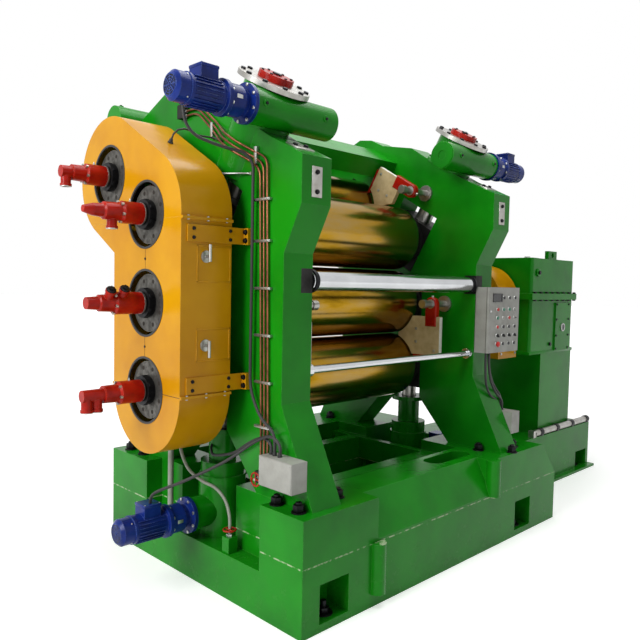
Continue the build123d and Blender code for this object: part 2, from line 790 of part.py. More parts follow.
# T-handle latches on the front band
for label, latch_z, share in (("latch_upper", latch_upper_z, 1 - latch_bar_share),
                              ("latch_lower", latch_lower_z, latch_bar_share)):
    with BuildPart() as latch:
        spot = Plane(origin=(cover_back_x - latch_x, -cover_r, latch_z), x_dir=(1, 0, 0), z_dir=(0, -1, 0))
        disc(spot, latch_plate / 2, 0, 5)
        disc(spot, latch_bar_d / 2, 5, latch_stem)
        bar = Plane(origin=(cover_back_x - latch_x, -cover_r - latch_stem, latch_z), x_dir=(1, 0, 0),
                    z_dir=(0, 0, 1))
        disc(bar, latch_bar_d / 2, -latch_bar_len * share, latch_bar_len * (1 - share))
    save(latch, label)

# Rotary joints on the spigots, each turned to its own outline, with ports for steam and water
for number, (roll_y, roll_z) in roll_places.items():
    with BuildPart() as rotary_joint:
        turned(across(roll_y, roll_z, -1), joint_steps[number], joint_back)
        chamfer(rotary_joint.edges().filter_by(GeomType.CIRCLE).sort_by(Axis.X)[-1], joint_edge)
        for at, turn, width, reach in joint_ports[number]:
            port = Plane(origin=(-joint_back - at, roll_y, roll_z), x_dir=(1, 0, 0),
                         z_dir=(0, -sin(radians(turn)), -cos(radians(turn))))
            disc(port, width / 2, 0, reach)
            disc(port, width / 2 + 4, reach - joint_ring_t, reach)
            disc(port, joint_port_bore_d / 2, reach - 2 * joint_ring_t, reach, Mode.SUBTRACT)
        disc(across(roll_y, roll_z, -1), spigot_d / 2 + running_gap, joint_back, joint_back + spigot_len,
             Mode.SUBTRACT)
    save(rotary_joint, f"rotary_joint_{number}")

# Upper guide roller in its bearings
roller_half = housing_in - guide_roller_gap
with BuildPart() as guide_roller:
    axis = across(guide_y, guide_roller_z)
    disc(axis, guide_roller_d / 2, -roller_half, roller_half)
    chamfer(guide_roller.edges().filter_by(GeomType.CIRCLE), 4)
    disc(axis, guide_journal_d / 2, -housing_in - guide_pocket_depth + moving_gap,
         housing_in + guide_pocket_depth - moving_gap)
save(guide_roller, "guide_roller")
with BuildPart() as guide_bearings:
    for side in sides.values():
        start = side * housing_in
        box((start, start + side * (guide_pocket_depth - seat_gap)),
            (-waist_half, guide_y + guide_pocket_back - seat_gap),
            (guide_roller_z - guide_pocket_h / 2 + seat_gap, guide_roller_z + guide_pocket_h / 2 - seat_gap))
        disc(across(guide_y, guide_roller_z), guide_journal_d / 2 + running_gap,
             side * (housing_in + guide_pocket_depth), start, Mode.SUBTRACT)
save(guide_bearings, "guide_bearings")

# Lower guide bar with its sockets
with BuildPart() as guide_bar:
    disc(across(guide_y, guide_bar_z), guide_bar_d / 2, -housing_in, housing_in)
    for side in sides.values():
        disc(across(guide_y, guide_bar_z, side), guide_socket_d / 2, housing_in - guide_socket_len, housing_in)
save(guide_bar, "guide_bar")


def guide_plane(nip_y, nip_z, turn, x):
    """Plane of a stock guide, with its X along the plate away from the nip."""
    return Plane(origin=(x, nip_y, nip_z), x_dir=(0, -cos(radians(turn)), sin(radians(turn))), z_dir=(1, 0, 0))


def stock_plate(plane, reach, half, clear, mode=Mode.ADD):
    """Plate whose tip follows both rolls into the nip."""
    with BuildSketch(plane) as plate:
        with Locations(((stock_tip + reach) / 2, 0)):
            Rectangle(reach - stock_tip, 2 * half)
        with Locations((0, roll_pitch / 2), (0, -roll_pitch / 2)):
            Circle(roll_r + clear, mode=Mode.SUBTRACT)
    extrude(to_extrude=plate.sketch, amount=stock_t / 2, both=True, mode=mode)


def guide_holder(plane, half, arm_side):
    """Holder that grips the plate between its cheeks and slides on the adjusting rod."""
    with BuildSketch(plane) as arm:
        with Locations((rod_reach, arm_side * rod_side / 2 + arm_side * half / 4)):
            Rectangle(holder_w, rod_side - half / 2)
        with Locations((rod_reach, arm_side * rod_side)):
            Circle(holder_w / 2)
    extrude(to_extrude=arm.sketch, amount=holder_t / 2, both=True)
    with BuildSketch(plane) as bore:
        with Locations((rod_reach, arm_side * rod_side)):
            Circle(rod_d / 2 + running_gap)
    extrude(to_extrude=bore.sketch, amount=holder_t, both=True, mode=Mode.SUBTRACT)


lower_nip = (0.0, (roll_3_z + roll_4_z) / 2)
upper_nip = (roll_1_y / 2, (roll_1_z + roll_2_z) / 2)
guide_rows = {
    "lower": (lower_nip, 0.0, stock_lower_x, stock_lower_reach, stock_lower_half, -1, stock_clear),
    # The second roll opens towards the upper guides, so they stand clear of it by its travel too
    "upper": (upper_nip, 90 - offset_angle, stock_upper_x, stock_upper_reach, stock_upper_half, 1,
              stock_clear + nip_travel),
}
for row, (nip, turn, guide_x, reach, half, arm_side, clear) in guide_rows.items():
    for side_name, side in sides.items():
        plane = guide_plane(*nip, turn, side * guide_x)
        with BuildPart() as guide:
            stock_plate(plane, reach, half, clear)
        save(guide, f"stock_guide_{row}_{side_name}")
        with BuildPart() as holder:
            guide_holder(plane, half, arm_side)
            chamfer(holder.faces().sort_by(Axis.X)[0].edges().filter_by(GeomType.LINE), holder_edge)
            chamfer(holder.faces().sort_by(Axis.X)[-1].edges().filter_by(GeomType.LINE), holder_edge)
            stock_plate(plane, reach, half, clear, Mode.SUBTRACT)
        save(holder, f"guide_holder_{row}_{side_name}")
with BuildPart() as guide_rods:
    for nip, turn, guide_x, reach, half, arm_side, clear in guide_rows.values():
        rod_y = nip[0] - rod_reach * cos(radians(turn)) - arm_side * rod_side * sin(radians(turn))
        rod_z = nip[1] + rod_reach * sin(radians(turn)) - arm_side * rod_side * cos(radians(turn))
        rod_len = housing_in - guide_x + holder_t / 2 + stock_travel_in + moving_gap
        for side in sides.values():
            rod_axis = across(rod_y, rod_z, side)
            disc(rod_axis, rod_d / 2, housing_in - rod_len, housing_in)
            disc(rod_axis, rod_nut_d / 2, housing_in - rod_len - rod_nut_len, housing_in - rod_len)
            disc(rod_axis, rod_foot_d / 2, housing_in - rod_foot_t, housing_in)
save(guide_rods, "guide_rods")

# Control panel on the front of the drive housing, and junction boxes on both housings
with BuildPart() as control_panel:
    box((housing_in, housing_in + panel_w), (-waist_half - panel_depth, -waist_half),
        (panel_low_z, panel_low_z + panel_h))
    fillet(control_panel.edges().filter_by(Axis.Z), panel_edge)
save(control_panel, "control_panel")
with BuildPart() as junction_boxes:
    for side in sides.values():
        box((side * housing_out, side * (housing_out + junction_d)),
            (junction_y - junction_w / 2, junction_y + junction_w / 2),
            (junction_low_z, junction_low_z + junction_h))
save(junction_boxes, "junction_boxes")

# Drive base with its thin foot flange, anchor pocket and pedestal
with BuildPart() as drive_base:
    box((plinth_right, drive_base_end), (-drive_base_half, drive_base_half), (0, drive_base_top_z))
    box((plinth_right, drive_base_end + drive_base_foot_out),
        (-drive_base_half - drive_base_foot_out, drive_base_half + drive_base_foot_out),
        (0, drive_base_foot_t))
    for y_side in (-1, 1):
        box((drive_base_end - drive_base_foot_out - drive_pocket_w, drive_base_end - drive_base_foot_out),
            (y_side * (drive_base_half - pocket_depth), y_side * drive_base_half),
            (drive_base_foot_t, drive_base_foot_t + drive_pocket_h), Mode.SUBTRACT)
    box((pedestal_left, pedestal_right), (-pedestal_half, pedestal_half), (drive_base_top_z, pedestal_top_z))
    # The welded base and pedestal are open underneath
    box((plinth_right + drive_wall, drive_base_end - 2 * drive_base_foot_out - drive_pocket_w),
        (-drive_base_half + drive_wall, drive_base_half - drive_wall),
        (0, drive_base_top_z - drive_wall), Mode.SUBTRACT)
    box((pedestal_left + drive_wall, pedestal_right - drive_wall),
        (-pedestal_half + drive_wall, pedestal_half - drive_wall),
        (0, pedestal_top_z - drive_wall), Mode.SUBTRACT)
save(drive_base, "drive_base")

# Reducer: split case with lifting ears on the joint flange and a bearing cap on the output
with BuildPart() as reducer:
    box((reducer_left, pedestal_right), (-pedestal_half, pedestal_half), (pedestal_top_z, reducer_top_z))
    fillet(reducer.edges().filter_by(Axis.Z), reducer_edge)
    box((reducer_left - reducer_flange_out, pedestal_right + reducer_flange_out),
        (-pedestal_half - reducer_flange_out, pedestal_half + reducer_flange_out),
        (reducer_split_z - reducer_flange_t, reducer_split_z + reducer_flange_t))
    ear_x = (reducer_left + pedestal_right) / 2
    for y_side in (-1, 1):
        ear_y = y_side * (pedestal_half - ear_t)
        with BuildSketch(Plane.XZ.offset(-ear_y)) as ear:
            with Locations((ear_x, reducer_top_z)):
                Rectangle(ear_w, 2 * ear_h)
            with Locations((ear_x, reducer_top_z + ear_h / 2)):
                Circle(ear_hole_d / 2, mode=Mode.SUBTRACT)
        extrude(to_extrude=ear.sketch, amount=ear_t / 2, both=True)
    # Raised oil gauge panel on the front, and the round bearing caps at the drive end
    box((reducer_panel_left, reducer_panel_right), (-pedestal_half - reducer_panel_t, -pedestal_half),
        (reducer_panel_low_z, reducer_panel_top_z))
    disc(across(0, reducer_split_z), reducer_cap_d / 2, pedestal_right,
         pedestal_right + reducer_flange_out + reducer_cap_t)
    # Clearance bore of the output coupling
    disc(across(0, roll_3_z), output_d / 2 + running_gap, reducer_left - reducer_flange_out,
         reducer_left + output_d, Mode.SUBTRACT)
save(reducer, "reducer")

# Coupling between the driven roll and the reducer, and its guard
with BuildPart() as drive_coupling:
    axis = across(0, roll_3_z)
    disc(axis, drive_flange_d / 2, guard_left + 60, guard_left + 60 + 2 * drive_flange_t)
    disc(axis, output_d / 2, guard_left + 60 + 2 * drive_flange_t, reducer_left + output_d - moving_gap)
save(drive_coupling, "drive_coupling")
with BuildPart() as coupling_guard:
    for inset, mode in ((0, Mode.ADD), (guard_wall, Mode.SUBTRACT)):
        with BuildSketch(Plane.YZ.offset(guard_left + inset)) as guard:
            with Locations((0, roll_3_z)):
                Circle(guard_r - inset)
            with Locations((0, (roll_3_z + guard_foot_z) / 2)):
                Rectangle(2 * (guard_r - inset), roll_3_z - guard_foot_z)
        extrude(to_extrude=guard.sketch, amount=reducer_left - reducer_flange_out - guard_left, mode=mode)
    disc(across(0, roll_3_z), shaft_d / 2 + moving_gap, guard_left, guard_left + guard_wall, Mode.SUBTRACT)
save(coupling_guard, "coupling_guard")

# Steel rail along the drive base
with BuildPart() as drive_rail:
    disc(across(rail_y, drive_base_top_z + rail_d / 2), rail_d / 2, rail_start, drive_base_end)
    box((rail_start - rail_block, rail_start), (-drive_base_half, -pedestal_half - seat_gap),
        (drive_base_top_z, drive_base_top_z + rail_d))
save(drive_rail, "drive_rail")

# Lubrication blocks on the operator housing, and the pipes that run between them over the screw's boss
pipe_x = -housing_out - lube_out
over_x = -housing_out - lube_over
with BuildPart() as lube_blocks:
    box((-housing_out - lube_block_t, -housing_out), (lube_top_y, lube_top_y + lube_block_h),
        (lube_top_z - lube_pipe_d, lube_top_z + 2 * lube_pitch + lube_pipe_d))
    box((-housing_out - lube_block_t, -housing_out),
        (lube_low_y - 2 * lube_pitch - 2 * lube_pipe_d, lube_low_y + 2 * lube_pipe_d),
        (lube_low_z - lube_block_h, lube_low_z))
save(lube_blocks, "lube_blocks")
with BuildPart() as lube_pipes:
    for row in range(3):
        step = row * lube_pitch
        over = [lean(0, roll_2_z, lube_cross_s + step, boss_d * share) for share in (0.6, 0.2, -0.2, -0.6)]
        tube(f"lube pipe {row + 1}", [
            (pipe_x, lube_top_y, lube_top_z + step),
            (pipe_x, lube_top_y / 2, lube_top_z + step),
            (pipe_x, *over[0]),
            (over_x, *over[1]),
            (over_x, *over[2]),
            (pipe_x, *over[3]),
            (pipe_x, lube_down_y - step, lube_turn_z + step),
            (pipe_x, lube_low_y - step, lube_low_z + lube_end_run),
            (pipe_x, lube_low_y - step, lube_low_z),
        ], lube_pipe_d)
save(lube_pipes, "lube_pipes")

# Cable from the upper gear motor's terminal box down to the operator junction box
cable_x = -housing_out - cable_out
motor_box_x = -(housing_mid + worm_out + motor_box_at)
motor_box_z = worm_z + (motor_d + terminal_h) / 2
box_cable_x = -housing_out - cable_box_out
junction_top_z = junction_low_z + junction_h
with BuildPart() as motor_cable:
    tube("motor cable", [
        (motor_box_x, worm_y + terminal_w / 2, motor_box_z),
        (motor_box_x, worm_y + terminal_w / 2 + cable_loop, motor_box_z),
        (motor_box_x + 40, worm_y + terminal_w / 2 + cable_loop + 10, motor_box_z - 237),
        (cable_x - cable_loop, cable_down_y + cable_loop / 2, motor_box_z - 292),
        (cable_x, cable_down_y, motor_box_z - 317),
        (cable_x, cable_down_y, junction_top_z + 300),
        (box_cable_x, cable_down_y - 110, junction_top_z + 170),
        (box_cable_x, junction_y + junction_w / 4, junction_top_z + 110),
        (box_cable_x, junction_y + junction_w / 4, junction_top_z),
    ], cable_d)
save(motor_cable, "motor_cable")

# Drain pipe of the operator side, and a valve on the notch floor
with BuildPart() as drain_pipe:
    tube("drain pipe", [
        (-housing_out, drain_pipe_y, drain_pipe_z),
        (-housing_out - drain_pipe_out, drain_pipe_y, drain_pipe_z),
        (-housing_out - drain_pipe_out, drain_pipe_y, notch_floor_z),
    ], drain_pipe_d)
save(drain_pipe, "drain_pipe")
with BuildPart() as drain_valve:
    box((drain_valve_x - drain_valve_w / 2, drain_valve_x + drain_valve_w / 2),
        (drain_valve_y - drain_valve_w / 2, drain_valve_y + drain_valve_w / 2),
        (notch_floor_z, notch_floor_z + drain_valve_h))
save(drain_valve, "drain_valve")
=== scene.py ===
"""Looks of the rubber calender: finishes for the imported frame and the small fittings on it.

Fittings are measured in millimetres in the frame's axes and become metres when they are seated.
The studio at the end is in metres.
"""

import json
import logging
import math
from collections.abc import Sequence
from dataclasses import dataclass, field, replace
from enum import Enum

import bmesh
import bpy
from mathutils import Matrix, Vector


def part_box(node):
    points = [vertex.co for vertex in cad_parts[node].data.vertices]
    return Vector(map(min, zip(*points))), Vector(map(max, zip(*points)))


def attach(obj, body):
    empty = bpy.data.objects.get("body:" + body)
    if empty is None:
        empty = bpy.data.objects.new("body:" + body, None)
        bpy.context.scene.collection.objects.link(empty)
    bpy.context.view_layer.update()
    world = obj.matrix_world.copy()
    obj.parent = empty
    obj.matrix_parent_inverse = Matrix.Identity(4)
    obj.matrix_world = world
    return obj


LOG = logging.getLogger("calender")
MM = 0.001

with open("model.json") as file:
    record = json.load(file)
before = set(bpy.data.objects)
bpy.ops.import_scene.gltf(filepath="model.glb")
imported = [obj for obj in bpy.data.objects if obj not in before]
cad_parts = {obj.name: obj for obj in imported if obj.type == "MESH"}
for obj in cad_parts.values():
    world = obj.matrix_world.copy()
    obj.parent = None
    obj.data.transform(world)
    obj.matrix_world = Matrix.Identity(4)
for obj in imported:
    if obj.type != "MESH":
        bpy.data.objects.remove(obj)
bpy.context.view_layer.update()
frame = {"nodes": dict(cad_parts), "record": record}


# ---------------------------------------------------------------- colours and nodes


def linear(code: str) -> tuple[float, float, float, float]:
    """Turn an sRGB hex colour to the linear one that the shader reads.

    Args:
        code: Six hex digits.

    Returns:
        Linear red, green, blue and an alpha of 1.
    """
    parts = [int(code[at : at + 2], 16) / 255 for at in (0, 2, 4)]
    red, green, blue = [p / 12.92 if p <= 0.04045 else ((p + 0.055) / 1.055) ** 2.4 for p in parts]
    return (red, green, blue, 1.0)


def add(tree: bpy.types.NodeTree, kind: str, *inputs: object, **settings: object) -> bpy.types.Node:
    """Add a node with its settings and the links that come into it.

    An input is a value, a hex colour, a socket, or a node whose first output in use is meant.

    Args:
        tree: The material's or world's node tree.
        kind: The node's type name after ShaderNode.
        inputs: What goes into the input sockets in use, in their order.
        settings: Properties, and inputs by their socket's name with _ for a space.

    Returns:
        The new node.
    """
    made = tree.nodes.new("ShaderNode" + kind)
    named = {key.replace("_", " "): value for key, value in settings.items()}
    for key, value in settings.items():
        if key.replace("_", " ") not in made.inputs:
            setattr(made, key, value)
    in_use = [socket for socket in made.inputs if socket.enabled]
    by_name = [(made.inputs[name], value) for name, value in named.items() if name in made.inputs]
    for socket, value in [*zip(in_use, inputs), *by_name]:
        if isinstance(value, bpy.types.Node):
            value = next(output for output in value.outputs if output.enabled)
        if isinstance(value, bpy.types.NodeSocket):
            tree.links.new(value, socket)
        else:
            socket.default_value = linear(value) if isinstance(value, str) else value
    return made


def started(name: str) -> tuple[bpy.types.Material, bpy.types.NodeTree, bpy.types.NodeSocket]:
    """Start an empty material that reads Object coordinates.

    Args:
        name: The finish's name.

    Returns:
        The material, its node tree and the coordinate socket.
    """
    material = bpy.data.materials.new(name)
    material.use_nodes = True
    tree = material.node_tree
    tree.nodes.clear()
    return material, tree, add(tree, "TexCoord").outputs["Object"]


# ---------------------------------------------------------------- finishes

# A bump reads much flatter than the real relief, so each real depth is raised this many times
RELIEF = 6 * MM


@dataclass(frozen=True)
class Enamel:
    """Alkyd machine enamel, sprayed glossy over filled castings and sheet.

    It gives the eye a wet-looking colour with soft mirror streaks, a fine orange peel, slow
    swells where the filler was rubbed down, paler edges that are partly a painted highlight
    and partly chipped wear, and dust that settles low down.
    """

    name: str
    slot: str
    colour: str
    shade: str
    # Paler tint along the edges: a painted highlight, broken up by chip noise as chipped wear
    edge: str
    dust: str = "5E5C44"
    filler: str = "B9C8A4"
    gloss: float = 0.24
    patch_mm: float = 420.0
    chip_mm: float = 38.0
    dust_mm: float = 90.0
    crack_mm: float = 75.0
    edge_mm: float = 3.2
    peel_mm: float = 9.0  # real peel is near 2 mm, coarser here so that it shows
    swell_mm: float = 130.0
    swell_depth_mm: float = 0.55
    seam_mm: float = 0.0

    def make(self) -> bpy.types.Material:
        """Build the material."""
        material, tree, place = started(self.name)
        patch = add(tree, "TexNoise", place, Scale=1000 / self.patch_mm, Detail=4.0, Roughness=0.55)
        share = add(tree, "MapRange", patch, 0.36, 0.66)
        colour = add(tree, "Mix", share, self.colour, self.shade, data_type="RGBA")
        soft = add(tree, "Bevel", Radius=self.edge_mm * MM, samples=4)
        facing = add(tree, "NewGeometry").outputs["Normal"]
        turn = add(tree, "VectorMath", soft, facing, operation="DOT_PRODUCT")
        # Paler band where the bevel's normal turns from the face's: a painted edge highlight, broken up by chip noise
        # as chipped wear
        drawn = add(tree, "MapRange", turn, 0.995, 0.90)
        chip = add(tree, "TexNoise", place, Scale=1000 / self.chip_mm, Detail=5.0, Roughness=0.7)
        chips = add(tree, "MapRange", chip, 0.42, 0.62, 0.15)
        edge_highlight_and_wear = add(tree, "Math", drawn, chips, operation="MULTIPLY")
        colour = add(tree, "Mix", edge_highlight_and_wear, colour, self.edge, data_type="RGBA")
        height = add(tree, "SeparateXYZ", place).outputs["Z"]
        if self.seam_mm:
            # The filler in the joint of the two castings has cracked and shows as a broken pale line
            above = add(tree, "Math", height, self.seam_mm * MM, operation="SUBTRACT")
            away = add(tree, "Math", above, operation="ABSOLUTE")
            line = add(tree, "MapRange", away, 2.6 * MM, 4.2 * MM, 1.0, 0.0)
            crack = add(tree, "TexNoise", place, Scale=1000 / self.crack_mm, Detail=6.0, Roughness=0.75)
            broken = add(tree, "MapRange", crack, 0.47, 0.55, 0.0, 0.85)
            shown = add(tree, "Math", line, broken, operation="MULTIPLY")
            colour = add(tree, "Mix", shown, colour, self.filler, data_type="RGBA")
        grain = add(tree, "TexNoise", place, Scale=1000 / self.dust_mm, Detail=6.0, Roughness=0.68)
        settled = add(tree, "MapRange", height, 0.7, 0.0, 0.0, 0.08)
        uneven = add(tree, "MapRange", grain, 0.42, 0.72)
        low = add(tree, "Math", settled, uneven, operation="MULTIPLY")
        colour = add(tree, "Mix", low, colour, self.dust, data_type="RGBA")
        rough = add(tree, "Math", low, 0.9, self.gloss, operation="MULTIPLY_ADD")
        swell = add(tree, "TexNoise", place, Scale=1000 / self.swell_mm, Detail=2.0)
        depth = self.swell_depth_mm * RELIEF
        rolled = add(tree, "Bump", Strength=0.55, Distance=depth, Height=swell, Normal=soft)
        peel = add(tree, "TexNoise", place, Scale=1000 / self.peel_mm, Detail=1.0)
        skin = add(tree, "Bump", Strength=0.16, Distance=0.5 * MM, Height=peel, Normal=rolled)
        paint = add(
            tree, "BsdfPrincipled", Base_Color=colour, Roughness=rough, Normal=skin, IOR=1.5, Specular_IOR_Level=0.16
        )
        add(tree, "OutputMaterial", paint)
        return material


class Marks(Enum):
    """Ways that cutting or grinding marks run on a metal piece, as a stretch of their pattern."""

    EVERY_WAY = (1.0, 1.0, 1.0)
    ROUND_THE_X_AXIS = (1.0, 0.0, 0.0)


@dataclass(frozen=True)
class BareMetal:
    """Bare iron, steel or copper with the marks of its last cut and a thin uneven film on it.

    It gives the eye a metal reflection broken by fine marks, with a stain that changes both
    colour and gloss from place to place.
    """

    name: str
    slot: str
    colour: str
    stain: str
    roughness: float
    mark_mm: float
    mark_depth_mm: float
    stain_mm: float
    stain_share: float
    marks: Marks = Marks.EVERY_WAY
    metallic: float = 1.0
    edge_mm: float = 1.2

    def make(self) -> bpy.types.Material:
        """Build the material."""
        material, tree, place = started(self.name)
        cloud = add(tree, "TexNoise", place, Scale=1000 / self.stain_mm, Detail=6.0, Roughness=0.6)
        share = add(tree, "MapRange", cloud, 0.36, 0.66, 0.0, self.stain_share)
        colour = add(tree, "Mix", share, self.colour, self.stain, data_type="RGBA")
        stretch = add(tree, "Mapping", place, Scale=self.marks.value)
        marks = add(tree, "TexNoise", stretch, Scale=1000 / self.mark_mm, Detail=3.0, Roughness=0.6)
        rough = add(tree, "Math", share, 0.22, self.roughness, operation="MULTIPLY_ADD")
        fine = add(tree, "Math", marks, 0.08, rough, operation="MULTIPLY_ADD")
        soft = add(tree, "Bevel", Radius=self.edge_mm * MM, samples=4)
        depth = self.mark_depth_mm * RELIEF
        cut = add(tree, "Bump", Strength=0.35, Distance=depth, Height=marks, Normal=soft)
        metal = add(tree, "BsdfPrincipled", Base_Color=colour, Metallic=self.metallic, Roughness=fine, Normal=cut)
        add(tree, "OutputMaterial", metal)
        return material


@dataclass(frozen=True)
class OiledRoll:
    """Chilled iron roll, ground to a mirror and wiped with an amber rust-preventing oil.

    It gives the eye a mirror that turns golden where the oil lies thick, with dark brown streaks
    along the roll that are painted reflection, greyer towards the ends, with hair-fine grinding
    rings that stretch each reflection round the roll.
    """

    name: str
    slot: str
    metal: str = "8E8A7C"
    film: str = "A07A12"
    # Dark brown of the streaks of painted dark reflection
    dark_reflection: str = "3E2C08"
    roughness: float = 0.13
    wipe_mm: float = 312.5
    ring_mm: float = 5.0  # grinding rings are finer than 1 mm, coarser here so that they show

    def make(self) -> bpy.types.Material:
        """Build the material."""
        material, tree, place = started(self.name)
        along = add(tree, "SeparateXYZ", place).outputs["X"]
        away = add(tree, "Math", along, operation="ABSOLUTE")
        wipe = add(tree, "Mapping", place, Scale=(0.8, 3.0, 3.0))
        cloud = add(tree, "TexNoise", wipe, Scale=1000 / self.wipe_mm, Detail=5.0, Roughness=0.62)
        thick = add(tree, "MapRange", cloud, 0.3, 0.6, 0.62, 1.0)
        inward = add(tree, "MapRange", away, 0.655, 0.60)
        film = add(tree, "Math", thick, inward, operation="MULTIPLY")
        colour = add(tree, "Mix", film, self.metal, self.film, data_type="RGBA")
        # Dark brown streaks along the roll where the cloud is highest: painted dark reflection
        dark_reflection_share = add(tree, "MapRange", cloud, 0.56, 0.8, 0.0, 0.7)
        colour = add(tree, "Mix", dark_reflection_share, colour, self.dark_reflection, data_type="RGBA")
        rings = add(tree, "Mapping", place, Scale=(1.0, 0.02, 0.02))
        ring = add(tree, "TexNoise", rings, Scale=1000 / self.ring_mm, Detail=4.0, Roughness=0.7)
        rough = add(tree, "Math", cloud, 0.12, self.roughness, operation="MULTIPLY_ADD")
        ground = add(tree, "Bump", Strength=0.2, Distance=0.12 * MM, Height=ring)
        mirror = add(tree, "BsdfPrincipled", Base_Color=colour, Metallic=1.0, Roughness=rough, Normal=ground)
        add(tree, "OutputMaterial", mirror)
        return material


@dataclass(frozen=True)
class Moulded:
    """Moulded plastic or rubber, and powder-coated sheet, which share a fine even grain.

    It gives the eye a calm body colour with a satin grain, faintly cloudier where hands and
    dust have been.
    """

    name: str
    slot: str
    colour: str
    cloud: str
    roughness: float
    grain_mm: float
    grain_depth_mm: float
    cloud_mm: float = 70.0
    sheen: float = 0.0
    edge_mm: float = 1.5

    def make(self) -> bpy.types.Material:
        """Build the material."""
        material, tree, place = started(self.name)
        cloud = add(tree, "TexNoise", place, Scale=1000 / self.cloud_mm, Detail=5.0, Roughness=0.6)
        share = add(tree, "MapRange", cloud, 0.38, 0.7, 0.0, 0.85)
        colour = add(tree, "Mix", share, self.colour, self.cloud, data_type="RGBA")
        grain = add(tree, "TexNoise", place, Scale=1000 / self.grain_mm, Detail=2.0)
        rough = add(tree, "Math", share, 0.16, self.roughness, operation="MULTIPLY_ADD")
        soft = add(tree, "Bevel", Radius=self.edge_mm * MM, samples=4)
        depth = self.grain_depth_mm * RELIEF
        skin = add(tree, "Bump", Strength=0.3, Distance=depth, Height=grain, Normal=soft)
        body = add(
            tree, "BsdfPrincipled", Base_Color=colour, Roughness=rough, Normal=skin, IOR=1.48, Sheen_Weight=self.sheen
        )
        add(tree, "OutputMaterial", body)
        return material


Finish = Enamel | BareMetal | OiledRoll | Moulded

# The fifth colour of each enamel is its paler edge tint, a painted highlight along the edges
GREEN = Enamel("green_machine_enamel", "green_enamel", "11850F", "0B6E0C", "48B83C")
GREEN_BASE = replace(GREEN, name="green_base_enamel", seam_mm=337.0)
OCHRE = Enamel(
    "ochre_sheet_enamel", "ochre_enamel", "C9900A", "B87C06", "DDB04A", swell_mm=210.0, swell_depth_mm=1.1
)
RED = Enamel(
    "red_fitting_enamel", "red_enamel", "A81A0C", "8C1208", "C85A40", patch_mm=60.0, swell_mm=40.0, swell_depth_mm=0.2
)
BLUE = Enamel(
    "blue_motor_enamel", "blue_enamel", "142C7C", "0C1F5E", "5470B4", patch_mm=90.0, swell_mm=50.0, swell_depth_mm=0.2
)
ROLL = OiledRoll("oiled_roll_iron", "polished_roll_steel")
CHROME = BareMetal(
    "hard_chrome_plate", "machined_steel", "C9CBCD", "A6A8AA", 0.10, 4.0, 0.01, 220.0, 0.35, Marks.ROUND_THE_X_AXIS
)
STEEL = BareMetal("turned_bright_steel", "machined_steel", "A9A8A4", "7C766C", 0.27, 6.0, 0.03, 60.0, 0.55)
ZINC = BareMetal("zinc_plated_bolts", "machined_steel", "B4B6B4", "8C8B84", 0.3, 3.0, 0.02, 14.0, 0.5)
BLACKED = BareMetal("oil_blacked_steel", "machined_steel", "2A2A2C", "171719", 0.34, 4.0, 0.03, 30.0, 0.7)
IRON = BareMetal(
    "oiled_cast_iron", "dark_cast_iron", "2E2E2D", "191817", 0.42, 5.0, 0.12, 80.0, 0.8, metallic=0.85
)
HUB = BareMetal("oil_stained_hub_steel", "machined_steel", "6C6A65", "2E2C28", 0.4, 9.0, 0.05, 40.0, 0.8)
COPPER = BareMetal("drawn_copper_tube", "copper", "8E5C42", "4A3026", 0.3, 8.0, 0.02, 90.0, 0.7)
CREAM = Moulded("sawn_nylon_plate", "cream_plate", "C2AF86", "A08A60", 0.5, 6.0, 0.12)
WHITE = Moulded("white_wear_strip", "cream_plate", "E4E2DA", "D2CFC4", 0.45, 5.0, 0.05)
GREY = Moulded("grey_powder_coat", "grey_enamel", "9C9C96", "8C8C85", 0.42, 3.0, 0.05)
RUBBER = Moulded("black_rubber_sheath", "black_rubber", "161617", "232322", 0.55, 5.0, 0.08, 60.0, 0.1)
HOSE = Moulded("grey_vinyl_hose", "black_rubber", "8F9488", "74786B", 0.4, 8.0, 0.05)
CAP_BLACK = Moulded("black_button_cap", "black_rubber", "141415", "1E1E1F", 0.33, 2.0, 0.02)
CAP_RED = Moulded("red_button_cap", "black_rubber", "C01A16", "A01410", 0.3, 2.0, 0.02)
CAP_GREEN = Moulded("green_button_cap", "black_rubber", "1F7A5C", "17634A", 0.3, 2.0, 0.02)
CAP_GREY = replace(GREY, slot="black_rubber")
GLASS_DARK = Moulded("dark_display_window", "black_rubber", "0B0D10", "101318", 0.12, 9.0, 0.01)
JOINT_DARK = Moulded("open_joint_shadow", "black_rubber", "1C1408", "120D05", 0.8, 6.0, 0.05)

CAD_FINISHES = (GREEN, OCHRE, ROLL, RED, BLUE, IRON, CREAM, GREY, COPPER, RUBBER, STEEL)
NODE_FINISHES = {
    "plinth": GREEN_BASE,
    "bed": GREEN_BASE,
    "guide_roller": CHROME,
    "guide_bar": CHROME,
    "drain_pipe": HOSE,
}


class Paintbox:
    """Makes each finish once and hands it out by name."""

    def __init__(self) -> None:
        """Start with no material made."""
        self.made: dict[str, bpy.types.Material] = {}

    def get(self, finish: Finish) -> bpy.types.Material:
        """Give a finish's material, made on its first call.

        Args:
            finish: The finish.

        Returns:
            Its material.
        """
        if finish.name not in self.made:
            self.made[finish.name] = finish.make()
        return self.made[finish.name]

    def dress_frame(self) -> None:
        """Put each CAD node in the finish of its slot, or its own one."""
        by_slot = {finish.slot: finish for finish in CAD_FINISHES}
        slots = {part["node"]: part["material_slot"] for part in frame["record"]["subparts"]}
        for name, piece in frame["nodes"].items():
            finish = NODE_FINISHES.get(name, by_slot[slots[name]])
            piece.data.materials.clear()
            piece.data.materials.append(self.get(finish))
            LOG.info("%s dressed in %s", name, finish.name)


PAINTS = Paintbox()


# ---------------------------------------------------------------- shapes

